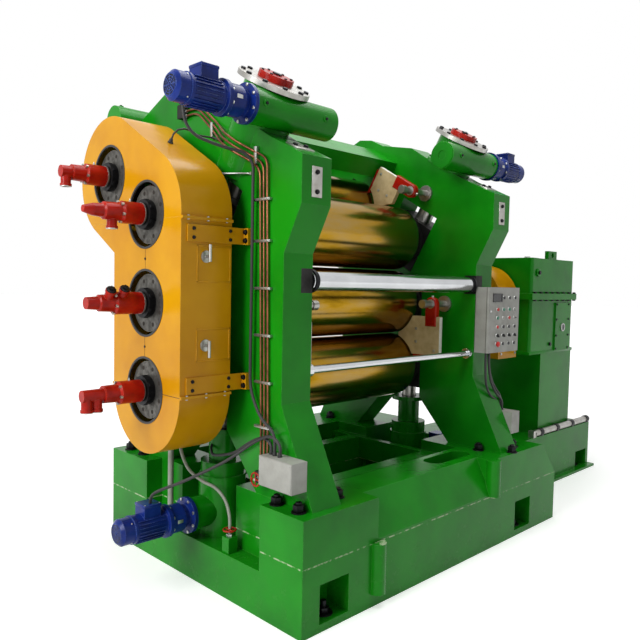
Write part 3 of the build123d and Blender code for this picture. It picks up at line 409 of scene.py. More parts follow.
OPERATOR = -1
DRIVE = 1
BOTH = (OPERATOR, DRIVE)
OUT_X = (-1.0, 0.0, 0.0)
FRONT = (0.0, -1.0, 0.0)
UP = (0.0, 0.0, 1.0)
DOWN = (0.0, 0.0, -1.0)
ROLLS = (1, 2, 3, 4)
CARRIERS = {1: "carriage_1", 2: "carriage_2", 3: "frame", 4: "carriage_4"}


def aim(at: Sequence[float], direction: Sequence[float]) -> Matrix:
    """Place a shape's own Z along a direction.

    Args:
        at: Where the shape's origin goes.
        direction: The way its Z points.

    Returns:
        The placing matrix.
    """
    turn = Vector(UP).rotation_difference(Vector(direction)).to_matrix().to_4x4()
    return Matrix.Translation(Vector(at)) @ turn


def raised(place: Matrix, height: float) -> Matrix:
    """Give a place moved along its own Z."""
    return place @ Matrix.Translation((0, 0, height))


def circle(place: Matrix, radius: float, count: int, start: float = 0.0) -> list[Matrix]:
    """Give places evenly round the Z of a place.

    Args:
        place: The middle.
        radius: How far out they stand.
        count: How many.
        start: Turn of the first, in degrees.

    Returns:
        The places, each keeping the middle's direction.
    """
    turns = [Matrix.Rotation(math.radians(start + 360 * n / count), 4, "Z") for n in range(count)]
    return [place @ turn @ Matrix.Translation((radius, 0, 0)) for turn in turns]


def box_of(node: str) -> tuple[Vector, Vector]:
    """Give the lowest and highest corner of a CAD node's box, in millimetres."""
    low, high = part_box(node)
    return Vector(low) / MM, Vector(high) / MM


def middle(node: str) -> Vector:
    """Give the middle of a CAD node's box, in millimetres."""
    low, high = box_of(node)
    return (low + high) / 2


def axis_of(number: int) -> tuple[float, float]:
    """Give the Y and Z of a roll's axis from its CAD box."""
    centre = middle(f"roll_{number}")
    return centre.y, centre.z


def smooth(points: Sequence[Sequence[float]], steps: int = 6) -> list[Vector]:
    """Round a route through its points.

    Args:
        points: The route's listed points.
        steps: Points made between each two.

    Returns:
        Points on one smooth line.
    """
    line = [Vector(p) for p in points]
    made: list[Vector] = []
    for number in range(len(line) - 1):
        start, end = line[number], line[number + 1]
        pull_in = (end - line[max(number - 1, 0)]) / 2
        pull_out = (line[min(number + 2, len(line) - 1)] - start) / 2
        for step in range(steps):
            t = step / steps
            made.append(
                start * (2 * t**3 - 3 * t**2 + 1)
                + pull_in * (t**3 - 2 * t**2 + t)
                + end * (3 * t**2 - 2 * t**3)
                + pull_out * (t**3 - t**2)
            )
    made.append(line[-1])
    return made


@dataclass
class Shape:
    """One fitting, or many alike joined, as a bmesh in millimetres in the frame's axes."""

    name: str
    mesh: bmesh.types.BMesh = field(default_factory=bmesh.new)

    def soften(self, edges: Sequence[bmesh.types.BMEdge], width: float) -> None:
        """Bevel edges by a width."""
        bmesh.ops.bevel(
            self.mesh,
            geom=edges,
            offset=width,
            offset_type="OFFSET",
            segments=2,
            profile=0.5,
            affect="EDGES",
            material=-1,
        )

    def drum(
        self,
        place: Matrix,
        radius: float,
        length: float,
        sides: int = 32,
        end: float | None = None,
        edge: float = 0.0,
    ) -> None:
        """Add a round or many-sided step that starts at place and runs along its Z.

        Args:
            place: The start of the axis.
            radius: Radius at the start.
            length: Length along the axis.
            sides: Number of sides.
            end: Radius at the far end, or the same.
            edge: Width of the bevel on both rims.
        """
        made = bmesh.ops.create_cone(
            self.mesh,
            cap_ends=True,
            segments=sides,
            radius1=radius,
            radius2=radius if end is None else end,
            depth=length,
            matrix=raised(place, length / 2),
        )
        if edge:
            axis = place.col[2].xyz
            lines = {e: (e.verts[0].co - e.verts[1].co).normalized() for v in made["verts"] for e in v.link_edges}
            self.soften([e for e, way in lines.items() if abs(way.dot(axis)) < 0.5], edge)

    def block(self, place: Matrix, size: Sequence[float], edge: float = 0.0) -> None:
        """Add a box centred on place.

        Args:
            place: The box's centre and turn.
            size: Its three sides.
            edge: Width of the bevel on its edges.
        """
        made = bmesh.ops.create_cube(self.mesh, size=1.0, matrix=place @ Matrix.Diagonal((*size, 1.0)))
        if edge:
            self.soften(list({e for v in made["verts"] for e in v.link_edges}), edge)

    def span(self, low: Sequence[float], high: Sequence[float], edge: float = 0.0) -> None:
        """Add a straight box between two corners.

        Args:
            low: One corner.
            high: The opposite corner.
            edge: Width of the bevel on its edges.
        """
        centre = [(a + b) / 2 for a, b in zip(low, high)]
        self.block(Matrix.Translation(centre), [abs(b - a) for a, b in zip(low, high)], edge)

    def turned(self, place: Matrix, outline: Sequence[tuple[float, float]], sides: int = 32) -> None:
        """Spin an outline round the Z of place.

        Args:
            place: The axis.
            outline: Pairs of distance along the axis and radius.
            sides: Number of steps round.
        """
        points = [self.mesh.verts.new(place @ Vector((radius, 0, along))) for along, radius in outline]
        edges = [self.mesh.edges.new(pair) for pair in zip(points, points[1:])]
        bmesh.ops.spin(
            self.mesh,
            geom=points + edges,
            cent=place.translation,
            axis=place.col[2].xyz,
            dvec=(0, 0, 0),
            angle=math.tau,
            steps=sides,
            use_merge=True,
        )

    def ring(self, place: Matrix, inner: float, outer: float, length: float, sides: int = 40) -> None:
        """Add a flat ring that starts at place and runs along its Z.

        Args:
            place: The start of the axis.
            inner: Radius of the hole.
            outer: Radius of the rim.
            length: Length along the axis.
            sides: Number of sides.
        """
        self.turned(place, ((0, inner), (0, outer), (length, outer), (length, inner), (0, inner)), sides)

    def bolt(self, place: Matrix, size: float, washer: bool = True) -> None:
        """Add a hexagon head on its washer, standing on place.

        Args:
            place: The seat, with Z outwards.
            size: The thread's diameter.
            washer: Whether a washer lies under the head.
        """
        lift = 0.0
        if washer:
            lift = size * 0.16
            self.drum(place, size * 1.05, lift, 18)
        self.drum(raised(place, lift), size * 0.92, size * 0.6, 6)
        self.drum(raised(place, lift + size * 0.6), size * 0.8, size * 0.1, 12, size * 0.62)

    def cap_screw(self, place: Matrix, size: float) -> None:
        """Add a round socket head with its hollow, standing on place.

        Args:
            place: The seat, with Z outwards.
            size: The head's height and the thread's diameter.
        """
        shares = ((0, 0.75), (0.9, 0.75), (1, 0.67), (1, 0.42), (0.5, 0.4), (0.5, 0))
        self.turned(place, [(size * along, size * radius) for along, radius in shares], 12)

    def dome(self, place: Matrix, radius: float, height: float, sides: int = 24) -> None:
        """Add a domed round cap, standing on place.

        Args:
            place: The seat, with Z outwards.
            radius: Radius of its rim.
            height: How far its crown stands out.
            sides: Number of sides.
        """
        steps = [math.radians(a) for a in (0, 25, 50, 72)]
        crown = [(height * (0.45 + 0.55 * math.sin(a)), radius * math.cos(a)) for a in steps]
        self.turned(place, [(0, radius), *crown, (height, 0)], sides)

    def tube(self, points: Sequence[Vector], radius: float, sides: int = 8) -> None:
        """Add a round bar or pipe bent through points by joining rings.

        Args:
            points: The centre line.
            radius: Half its thickness.
            sides: Sides of each ring.
        """
        rings: list[list[bmesh.types.BMEdge]] = []
        for number, point in enumerate(points):
            ahead = points[min(number + 1, len(points) - 1)] - point
            behind = point - points[max(number - 1, 0)]
            way = (ahead.normalized() + behind.normalized()).normalized()
            made = bmesh.ops.create_circle(self.mesh, segments=sides, radius=radius, matrix=aim(point, way))
            ring = list({e for v in made["verts"] for e in v.link_edges})
            if rings:
                bmesh.ops.bridge_loops(self.mesh, edges=rings[-1] + ring)
            rings.append(ring)
        for ends in (rings[0], rings[-1]):
            bmesh.ops.holes_fill(self.mesh, edges=ends, sides=sides)

    def seat(self, body: str, finish: Finish, smooth_angle: float = 38.0) -> None:
        """Close the shape and put it on the body that carries it.

        Args:
            body: The CAD body it moves with.
            finish: Its finish.
            smooth_angle: The largest angle that is shaded smooth, in degrees.
        """
        bmesh.ops.scale(self.mesh, vec=(MM, MM, MM), verts=self.mesh.verts[:])
        bmesh.ops.remove_doubles(self.mesh, verts=self.mesh.verts[:], dist=1e-6)
        bmesh.ops.dissolve_degenerate(self.mesh, edges=self.mesh.edges[:], dist=1e-7)
        bmesh.ops.recalc_face_normals(self.mesh, faces=self.mesh.faces[:])
        data = bpy.data.meshes.new(self.name)
        self.mesh.to_mesh(data)
        self.mesh.free()
        data.shade_smooth()
        data.set_sharp_from_angle(angle=math.radians(smooth_angle))
        data.materials.append(PAINTS.get(finish))
        piece = bpy.data.objects.new(self.name, data)
        bpy.context.collection.objects.link(piece)
        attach(piece, body)
        LOG.info("%s: %d faces on %s", self.name, len(data.polygons), body)


# ---------------------------------------------------------------- fittings

HOUSING_X = 870.0  # middle of each side housing
WORM_HALF = 326.0  # half the length of a worm tube
MOTOR_LEN = 434.0  # from a worm tube's end to the fan cowl's face
CLIP_X = -992.0  # outer side of the pipes on the operator housing


@dataclass
class CoverFittings:
    """Rims, seams, flange bolts, door beads and the cable gland of the yellow gear cover."""

    hole_radius: float = 167.5
    rim_wide: float = 9.0
    rim_proud: float = 3.0
    seam_wide: float = 2.4
    seam_proud: float = 0.5
    bead_wide: float = 7.0
    bead_proud: float = 2.2
    bolt: float = 9.0
    strap_bolt: float = 14.0

    def __post_init__(self) -> None:
        """Read the cover's planes from the frame."""
        low, high = box_of("gear_cover_bottom")
        self.face, self.back = low.x, high.x
        self.splits = (high.z, box_of("gear_cover_front")[1].z)
        self.front = axis_of(2)[0] - (high.y - 14)

    def build(self) -> None:
        """Build all pieces."""
        rims = Shape("cover_hole_rims")
        for number in ROLLS:
            seat = aim((self.face + 6, *axis_of(number)), OUT_X)
            rims.ring(seat, self.hole_radius - 2, self.hole_radius + self.rim_wide, 6 + self.rim_proud, 56)
        rims.seat("frame", RUBBER)
        self.draw_seams()
        self.bolt_flanges()
        self.bead_doors()
        self.bolt_straps()
        self.lead_cable()

    def draw_seams(self) -> None:
        """Draw the dark butt joints of the sheets and the rivets in the middle of the upright ones."""
        seams, rivets = Shape("cover_seams"), Shape("cover_rivets")
        half, proud = self.seam_wide / 2, self.face - self.seam_proud
        for upper, lower in ((2, 3), (3, 4)):
            top = axis_of(upper)[1] - self.hole_radius
            bottom = axis_of(lower)[1] + self.hole_radius
            seams.span((proud, -half, bottom), (self.face, half, top))
            rivets.dome(aim((self.face, 0, (top + bottom) / 2), OUT_X), 7, 4, 16)
        split = self.splits[0]
        seams.span((proud, self.front, split - half), (self.face, -self.hole_radius, split + half))
        rivets.dome(aim((self.face, 178, 2035), OUT_X), 7, 4, 16)
        seams.seat("frame", JOINT_DARK)
        rivets.seat("frame", BLACKED)

    def bolt_flanges(self) -> None:
        """Bolt the level flanges of the cover's sections together."""
        bolts = Shape("cover_flange_bolts")
        for split in self.splits:
            for share in (0.12, 0.5, 0.88):
                x = self.face + (self.back - self.face) * share
                for y in (self.front - 7, 7 - self.front):
                    bolts.bolt(aim((x, y, split + 7), UP), self.bolt * 0.8, False)
                    bolts.bolt(aim((x, y, split - 7), DOWN), self.bolt * 0.8, False)
        bolts.seat("frame", ZINC)

    def bead_doors(self) -> None:
        """Raise the narrow beads round the two inspection doors behind the handles."""
        beads = Shape("cover_door_beads")
        left, right, wide = self.face + 92, self.back - 6, self.bead_wide
        for low, high in ((1268, 1435), (1665, 1848)):
            for x1, z1, x2, z2 in (
                (left, low, right, low + wide),
                (left, high - wide, right, high),
                (left, low, left + wide, high),
                (right - wide, low, right, high),
            ):
                beads.span((x1, self.front - self.bead_proud, z1), (x2, self.front + 1, z2), 0.9)
        beads.seat("frame", OCHRE)

    def bolt_straps(self) -> None:
        """Fasten the straps' lugs to the housing and the straps to the cover."""
        bolts = Shape("strap_bolts")
        for z in (1905, 1152):
            for side in BOTH:
                for off in (-22, 22):
                    bolts.bolt(aim((-1004, side * 355, z + off), OUT_X), self.strap_bolt)
                    for x in (-1090, -1310):
                        bolts.bolt(aim((x, side * 338, z + off), (0, side, 0)), self.bolt)
        bolts.seat("frame", BLACKED)

    def lead_cable(self) -> None:
        """Lead the thin sensor cable from its gland on the upper band to the housing."""
        along, out = Vector((0, 0.866, 0.5)), Vector((0, -0.5, 0.866))
        seat = Vector((-1228, *axis_of(2))) + along * 205 + out * 330
        gland = Shape("cover_cable_gland")
        gland.drum(aim(seat, out), 15, 8, 6)
        gland.drum(aim(seat + out * 8, out), 11, 16, 20, 9)
        gland.seat("frame", RUBBER)
        climb = ((22, 0), (52, 4), (78, 22), (90, 56), (86, 100), (70, 150))
        rise = [seat + out * height + Vector((x, 0, 0)) for height, x in climb]
        tail = [Vector((CLIP_X, y, z)) for y, z in ((-40, 2455), (-84, 2440), (-128, 2424))]
        cable = Shape("cover_sensor_cable")
        cable.tube([*rise, *tail], 5, 10)
        cable.seat("frame", RUBBER, 60)


@dataclass
class HubFittings:
    """Grey faces, dark bolt holes and black shaft nuts at the operator ends of the rolls."""

    recess: float = 20.0
    plate_radius: float = 148.5
    nut_radius: float = 76.0
    hole_pcd_radius: float = 120.0
    hole_radius: float = 11.0
    holes: int = 8

    def build(self) -> None:
        """Build one plate, one set of holes and one nut for each roll."""
        face = box_of("gear_cover_bottom")[0].x + self.recess
        for number in ROLLS:
            body, (y, z) = f"roll_{number}", axis_of(number)
            plate = Shape(f"hub_face_{number}")
            plate.ring(aim((face + 0.2, y, z), OUT_X), self.nut_radius - 2, self.plate_radius, 1.2, 64)
            plate.seat(body, HUB)
            holes = Shape(f"hub_holes_{number}")
            for place in circle(aim((face - 1, y, z), OUT_X), self.hole_pcd_radius, self.holes, 22.5):
                holes.drum(place, self.hole_radius, 0.5, 20)
            holes.seat(body, JOINT_DARK)
            nut = Shape(f"shaft_nut_{number}")
            nut.ring(aim((face - 0.5, y, z), OUT_X), 30, self.nut_radius, 38.5, 48)
            for place in circle(aim((face - 20, y, z), OUT_X), self.nut_radius, 6):
                nut.block(place, (5, 22, 26), 1.5)
            nut.seat(body, BLACKED)


@dataclass
class JointFittings:
    """Bolts, bright rings, plugs and grease nipples on the rotary joints."""

    back: float = -1404.0
    shoulders: tuple[tuple[float, float], ...] = ((118, 50), (122, 51), (158, 52), (132, 53))
    bolt: float = 8.0

    def build(self) -> None:
        """Build the small pieces of the four joints."""
        for number, (step, radius) in zip(ROLLS, self.shoulders):
            body, (y, z) = CARRIERS[number], axis_of(number)
            bolts = Shape(f"joint_bolts_{number}")
            for place in circle(aim((self.back - step + 7, y, z), OUT_X), radius, 6, 15):
                bolts.drum(place, self.bolt, 12, 6)
            bolts.ring(aim((self.back + 1, y, z), OUT_X), 40, 57.5, 8, 40)
            bolts.seat(body, STEEL)
            nipple = Shape(f"joint_nipple_{number}")
            nipple.drum(aim((self.back - 62, y, z + 54), UP), 6, 9, 6)
            nipple.drum(aim((self.back - 62, y, z + 62), UP), 3.4, 9, 12, 2.4)
            nipple.seat(body, ZINC)
        for number, ports in ((1, ((219, 76),)), (2, ((160, 84),)), (4, ((238, 80), (289, 80)))):
            y, z = axis_of(number)
            rings = Shape(f"joint_port_rings_{number}")
            for along, reach in ports:
                rings.ring(aim((self.back - along, y, z - reach + 1), DOWN), 18, 29, 5, 32)
            rings.seat(CARRIERS[number], ZINC)
        way = Vector((0, -0.643, 0.766))
        plugs = Shape("joint_plugs_3")
        for along, reach in ((120, 92), (190, 84)):
            seat = Vector((self.back - along, *axis_of(3))) + way * (reach - 1)
            plugs.drum(aim(seat, way), 24, 9, 24, edge=1.5)
            plugs.drum(aim(seat + way * 9, way), 13, 12, 4)
        plugs.seat(CARRIERS[3], BLACKED)


@dataclass
class MotorFittings:
    """Fins, fan grilles, flange bolts, terminal lids and blank rating plates of the gear motors."""

    body_radius: float = 72.0
    fin_high: float = 7.0
    fin_thick: float = 2.6
    fins: int = 26
    flange_bolt: float = 10.0

    def build(self) -> None:
        """Dress the six gear motors."""
        blue, dark, bright = Shape("motor_fins"), Shape("motor_cowl_shade_discs"), Shape("motor_bolts")
        for node in ("upper_gearmotors", "lower_gearmotors", "rear_gearmotors"):
            low, high = box_of(node)
            for side in BOTH:
                end, turn = (low.x if side == OPERATOR else high.x), side
                if node == "rear_gearmotors":
                    end, turn = side * (HOUSING_X - WORM_HALF - MOTOR_LEN), -side
                self.dress(blue, dark, bright, Vector((end, (low.y + high.y) / 2, low.z + 100)), turn)
        blue.seat("frame", BLUE)
        dark.seat("frame", BLACKED)
        bright.seat("frame", ZINC)

    def dress(self, blue: Shape, dark: Shape, bright: Shape, end: Vector, turn: int) -> None:
        """Dress one motor.

        Args:
            blue: Collects the painted pieces.
            dark: Collects the dark disc behind the cowl's rings, painted shade in its air slots.
            bright: Collects the screws and the rating plate.
            end: Middle of the fan cowl's outer face.
            turn: 1 where the motor points to the drive side, otherwise -1.
        """
        back, out = aim(end, (-turn, 0, 0)), aim(end, (turn, 0, 0))
        for place in circle(raised(back, 92), self.body_radius + self.fin_high / 2 - 1, self.fins, 7):
            if place.translation.z < end.z + 52:
                blue.block(raised(place, 78), (self.fin_high + 2, self.fin_thick, 150), 0.8)
        # Fan cowl: thin rings on the outer face, over a dark disc that is painted shade in the air slots between them
        dark.drum(raised(out, -0.6), 50, 1, 40)
        for radius in (12, 24, 36, 48):
            blue.ring(out, radius - 2.2, radius + 2.2, 1.6, 40)
        for place in circle(raised(out, 0.7), 30, 8):
            blue.block(place, (40, 4, 1.6))
        blue.drum(out, 7, 4, 20, 5)
        collar = raised(back, 60)
        for place in circle(collar, 70, 4, 45):
            bright.drum(aim(place.translation, place.translation - collar.translation), 4, 3.5, 6)
        # Flange bolts at both sides of the reducer
        inner = raised(back, MOTOR_LEN - 22) @ Matrix.Rotation(math.pi, 4, "X")
        for seat, radius in ((inner, 90), (raised(back, MOTOR_LEN - 142), 80)):
            for place in circle(seat, radius, 8, 22.5):
                bright.bolt(place, self.flange_bolt, False)
        # Terminal lid with its screws, on the box of the motor
        top = Vector((raised(back, MOTOR_LEN - 252).translation.x, end.y, end.z + 124))
        blue.block(Matrix.Translation(top + Vector((0, 0, -8))), (102, 102, 15), 3)
        for x in (-42, 42):
            for y in (-42, 42):
                bright.cap_screw(aim(top + Vector((x, y, -0.8)), UP), 4)
        # Blank rating plate on the front of the reducer
        plate = Vector((raised(back, MOTOR_LEN - 100).translation.x, end.y - 77.6, end.z + 4))
        bright.block(Matrix.Translation(plate), (34, 2.4, 18), 0.4)


@dataclass
class ScrewFittings:
    """Bolts on the steel flanges and red caps, plugs and foot rings of the screw gearboxes."""

    flange_bolt: float = 16.0
    flange_bolts: int = 10
    flange_pcd_radius: float = 172.0
    cap_bolt: float = 9.0
    cap_pcd_radius: float = 78.0
    column_radius: float = 150.0
    worm_radius: float = 88.0

    def build(self) -> None:
        """Build the pieces on the four upper gearboxes and the worm tubes."""
        bolts, caps = Shape("screw_flange_bolts"), Shape("screw_cap_bolts")
        green, plugs = Shape("gearbox_bosses"), Shape("gearbox_plugs")
        for number, turn, start, top in ((2, 30.0, 590, 790), (1, -60.0, 545, 735)):
            way = Vector((0, -math.sin(math.radians(turn)), math.cos(math.radians(turn))))
            for side in BOTH:
                root = aim((side * HOUSING_X, *axis_of(number)), way)
                for place in circle(raised(root, top + 23), self.flange_pcd_radius, self.flange_bolts):
                    bolts.bolt(place, self.flange_bolt)
                cap = raised(root, top + 60)
                for place in circle(cap, self.cap_pcd_radius, 6, 30):
                    caps.bolt(place, self.cap_bolt, False)
                caps.drum(cap, 26, 8, 6)
                # Foot ring of the column on the housing and the bolts through it
                seat = raised(root, start)
                green.ring(seat, self.column_radius - 1, self.column_radius + 15, 22, 56)
                for place in circle(raised(seat, 22), self.column_radius + 6, 8, 22.5):
                    bolts.bolt(place, 9, False)
        # Round inspection plugs on the worm tubes, and the rings at the tubes' motor ends
        for name, way in (("upper", FRONT), ("rear", UP)):
            low, high = box_of(f"{name}_gearmotors")
            y, z = (low.y + high.y) / 2, low.z + 100
            for side in BOTH:
                for x in (640, 1050):
                    spot = raised(aim((side * x, y, z), way), self.worm_radius)
                    green.drum(spot, 17, 7, 24, edge=1)
                    plugs.drum(raised(spot, 7), 8, 6, 6)
                green.ring(aim((side * (HOUSING_X - WORM_HALF), y, z), (-side, 0, 0)), 30, 84, 5, 40)
        bolts.seat("frame", BLACKED)
        caps.seat("frame", BLACKED)
        green.seat("frame", GREEN)
        plugs.seat("frame", BLACKED)


@dataclass
class HousingFittings:
    """Ring bolts, plates and foot bolts of the side housings."""

    ring_bolt: float = 12.0
    ring_pcd_radius: float = 151.0
    ring_bolts: int = 12
    foot_radius: float = 30.0
    foot_high: float = 34.0
    foot_spots: tuple[tuple[float, float], ...] = (
        (-1010, -640), (-1010, -800), (-700, -760), (-700, -640), (735, -700), (1010, -640), (1010, -800)
    )
    front_foot_spot: tuple[float, float] = (860, -880)

    def build(self) -> None:
        """Build the bolts and plates."""
        for number in ROLLS:
            bolts = Shape(f"bearing_ring_bolts_{number}")
            for side in BOTH:
                for x, way in ((1002, side), (738, -side)):
                    ring = aim((side * x, *axis_of(number)), (way, 0, 0))
                    for place in circle(ring, self.ring_pcd_radius, self.ring_bolts, 15):
                        bolts.bolt(place, self.ring_bolt, False)
            bolts.seat(CARRIERS[number], BLACKED)
        self.fix_plates()
        self.bolt_feet()

    def fix_plates(self) -> None:
        """Fix a small plate on the slope and one on the upright front of each housing."""
        plates, screws = Shape("housing_plates"), Shape("housing_plate_screws")
        slope = Vector((0, -0.426, 0.905)).normalized()
        for side in BOTH:
            place = raised(aim((side * HOUSING_X, (-735 - 485.5) / 2, (2290 + 2408) / 2), slope), 2)
            plates.block(place, (120, 96, 8), 1.2)
            for off in (-36, 36):
                screws.bolt(place @ Matrix.Translation((off, 0, 4)), 14)
            plates.block(Matrix.Translation((side * HOUSING_X, -735, 2165)), (70, 7, 150), 1.2)
            for off in (-48, 48):
                screws.bolt(aim((side * HOUSING_X, -738.5, 2165 + off), FRONT), 12)
        plates.seat("frame", STEEL)
        screws.seat("frame", BLACKED)

    def bolt_feet(self) -> None:
        """Set the black holding-down bolts along the feet, front and rear."""
        feet = Shape("housing_foot_bolts")
        top = box_of("bed")[1].z
        rear_spots = [(x, -y) for x, y in self.foot_spots]
        for x, y in (*self.foot_spots, *rear_spots, self.front_foot_spot):
            seat = aim((x, y, top), UP)
            feet.drum(seat, self.foot_radius * 1.25, 6)
            feet.drum(raised(seat, 6), self.foot_radius, self.foot_high, 6, edge=2)
            feet.drum(raised(seat, 6 + self.foot_high), self.foot_radius * 0.55, 12, 20, edge=1.5)
        feet.seat("frame", BLACKED)


class Cap(Enum):
    """Kinds of operating element on the control panel."""

    BLACK = "black"
    RED = "red"
    GREEN = "green"
    GREY = "grey"
    SELECTOR = "black selector with a finger bar"
    KEY = "grey key switch"
    STOP = "large red mushroom"


@dataclass
class PanelFittings:
    """Display, door edge and rows of 22 mm buttons on the control panel."""

    columns: tuple[float, ...] = (883.0, 959.0, 1034.0, 1110.0)
    rows: tuple[tuple[float, tuple[Cap | None, ...]], ...] = (
        (1599.0, (None, Cap.BLACK, Cap.BLACK, Cap.BLACK)),
        (1519.0, (Cap.RED, Cap.GREEN, Cap.GREEN, Cap.GREY)),
        (1461.0, (Cap.GREEN, Cap.GREY, Cap.RED, Cap.KEY)),
        (1400.0, (Cap.RED, Cap.BLACK, Cap.BLACK, Cap.BLACK)),
        (1341.0, (Cap.SELECTOR, Cap.SELECTOR, Cap.SELECTOR, Cap.SELECTOR)),
        (1283.0, (Cap.STOP, Cap.BLACK, Cap.BLACK, Cap.BLACK)),
    )
    button_radius: float = 11.0
    bezel_radius: float = 15.0
    bezel_high: float = 4.0
    window_low: tuple[float, float] = (827.0, 1576.0)
    window_high: tuple[float, float] = (934.0, 1622.0)
    window_rim: float = 6.0

    def build(self) -> None:
        """Build the bezels, each colour of cap, the display and the door."""
        low, high = box_of("control_panel")
        finishes = {Cap.BLACK: CAP_BLACK, Cap.RED: CAP_RED, Cap.GREEN: CAP_GREEN, Cap.GREY: CAP_GREY}
        caps = {colour: Shape(f"panel_{colour.value}") for colour in finishes}
        bezels, labels = Shape("panel_bezels"), Shape("panel_label_plates")
        for z, kinds in self.rows:
            for x, kind in zip(self.columns, kinds):
                if kind is None:
                    continue
                seat = aim((x, low.y, z), FRONT)
                rim = self.bezel_radius * (1.3 if kind is Cap.STOP else 1.0)
                bezels.turned(seat, ((0, 0), (0, rim), (self.bezel_high, rim - 2), (self.bezel_high, 0)), 28)
                labels.block(aim((x, low.y - 0.5, z + 24), FRONT), (26, 9, 1.2))
                self.press(caps, raised(seat, self.bezel_high), kind)
        bezels.seat("frame", ZINC)
        labels.seat("frame", GREY)
        for colour, finish in finishes.items():
            caps[colour].seat("frame", finish)
        self.set_window(low.y)
        self.edge_door(low, high)

    def press(self, caps: dict[Cap, Shape], seat: Matrix, kind: Cap) -> None:
        """Set one cap on its bezel.

        Args:
            caps: The shape of each colour.
            seat: Front of the bezel.
            kind: What is set there.
        """
        radius = self.button_radius
        finger = seat @ Matrix.Rotation(math.radians(40), 4, "Z") @ Matrix.Translation((0, 0, 10))
        match kind:
            case Cap.STOP:
                caps[Cap.RED].drum(seat, radius * 0.8, 8, 24)
                caps[Cap.RED].dome(raised(seat, 7), 19, 14, 32)
            case Cap.SELECTOR:
                caps[Cap.BLACK].drum(seat, radius, 5, 24, edge=1)
                caps[Cap.BLACK].block(finger, (7, 24, 12), 1)
            case Cap.KEY:
                caps[Cap.GREY].drum(seat, radius, 5, 24, edge=1)
                caps[Cap.BLACK].block(finger, (2, 10, 8), 1)
            case _:
                caps[kind].drum(seat, radius, 7, 24, edge=1.6)

    def set_window(self, face: float) -> None:
        """Set the display behind its frame at the upper left.

        Args:
            face: Y of the panel's front.
        """
        glass, frame_bars = Shape("panel_display"), Shape("panel_display_frame")
        (left, bottom), (right, top), rim = self.window_low, self.window_high, self.window_rim
        glass.span((left, face - 1.5, bottom), (right, face + 2, top))
        for x1, z1, x2, z2 in (
            (left - rim, bottom - rim, right + rim, bottom),
            (left - rim, top, right + rim, top + rim),
            (left - rim, bottom - rim, left, top + rim),
            (right, bottom - rim, right + rim, top + rim),
        ):
            frame_bars.span((x1, face - 5, z1), (x2, face + 1, z2), 1)
        glass.seat("frame", GLASS_DARK)
        frame_bars.seat("frame", CAP_BLACK)

    def edge_door(self, low: Vector, high: Vector) -> None:
        """Show the door's gap round the face, its two hinges and its lock.

        Args:
            low: Lowest corner of the panel.
            high: Highest corner of the panel.
        """
        gap, metal = Shape("panel_door_gap"), Shape("panel_hinges_and_lock")
        centre, size = (low + high) / 2, high - low
        for z in (low.z, high.z):
            gap.block(Matrix.Translation((centre.x, low.y + 16, z)), (size.x - 14, 3, 0.8))
        for x in (low.x, high.x):
            gap.block(Matrix.Translation((x, low.y + 16, centre.z)), (0.8, 3, size.z))
        gap.seat("frame", JOINT_DARK)
        for z in (low.z + 70, high.z - 70):
            metal.drum(aim((high.x + 4, low.y + 14, z - 25), UP), 5, 50, 16)
        metal.drum(aim((low.x + 26, low.y, centre.z + 60), FRONT), 9, 4, 24, edge=1)
        metal.seat("frame", ZINC)


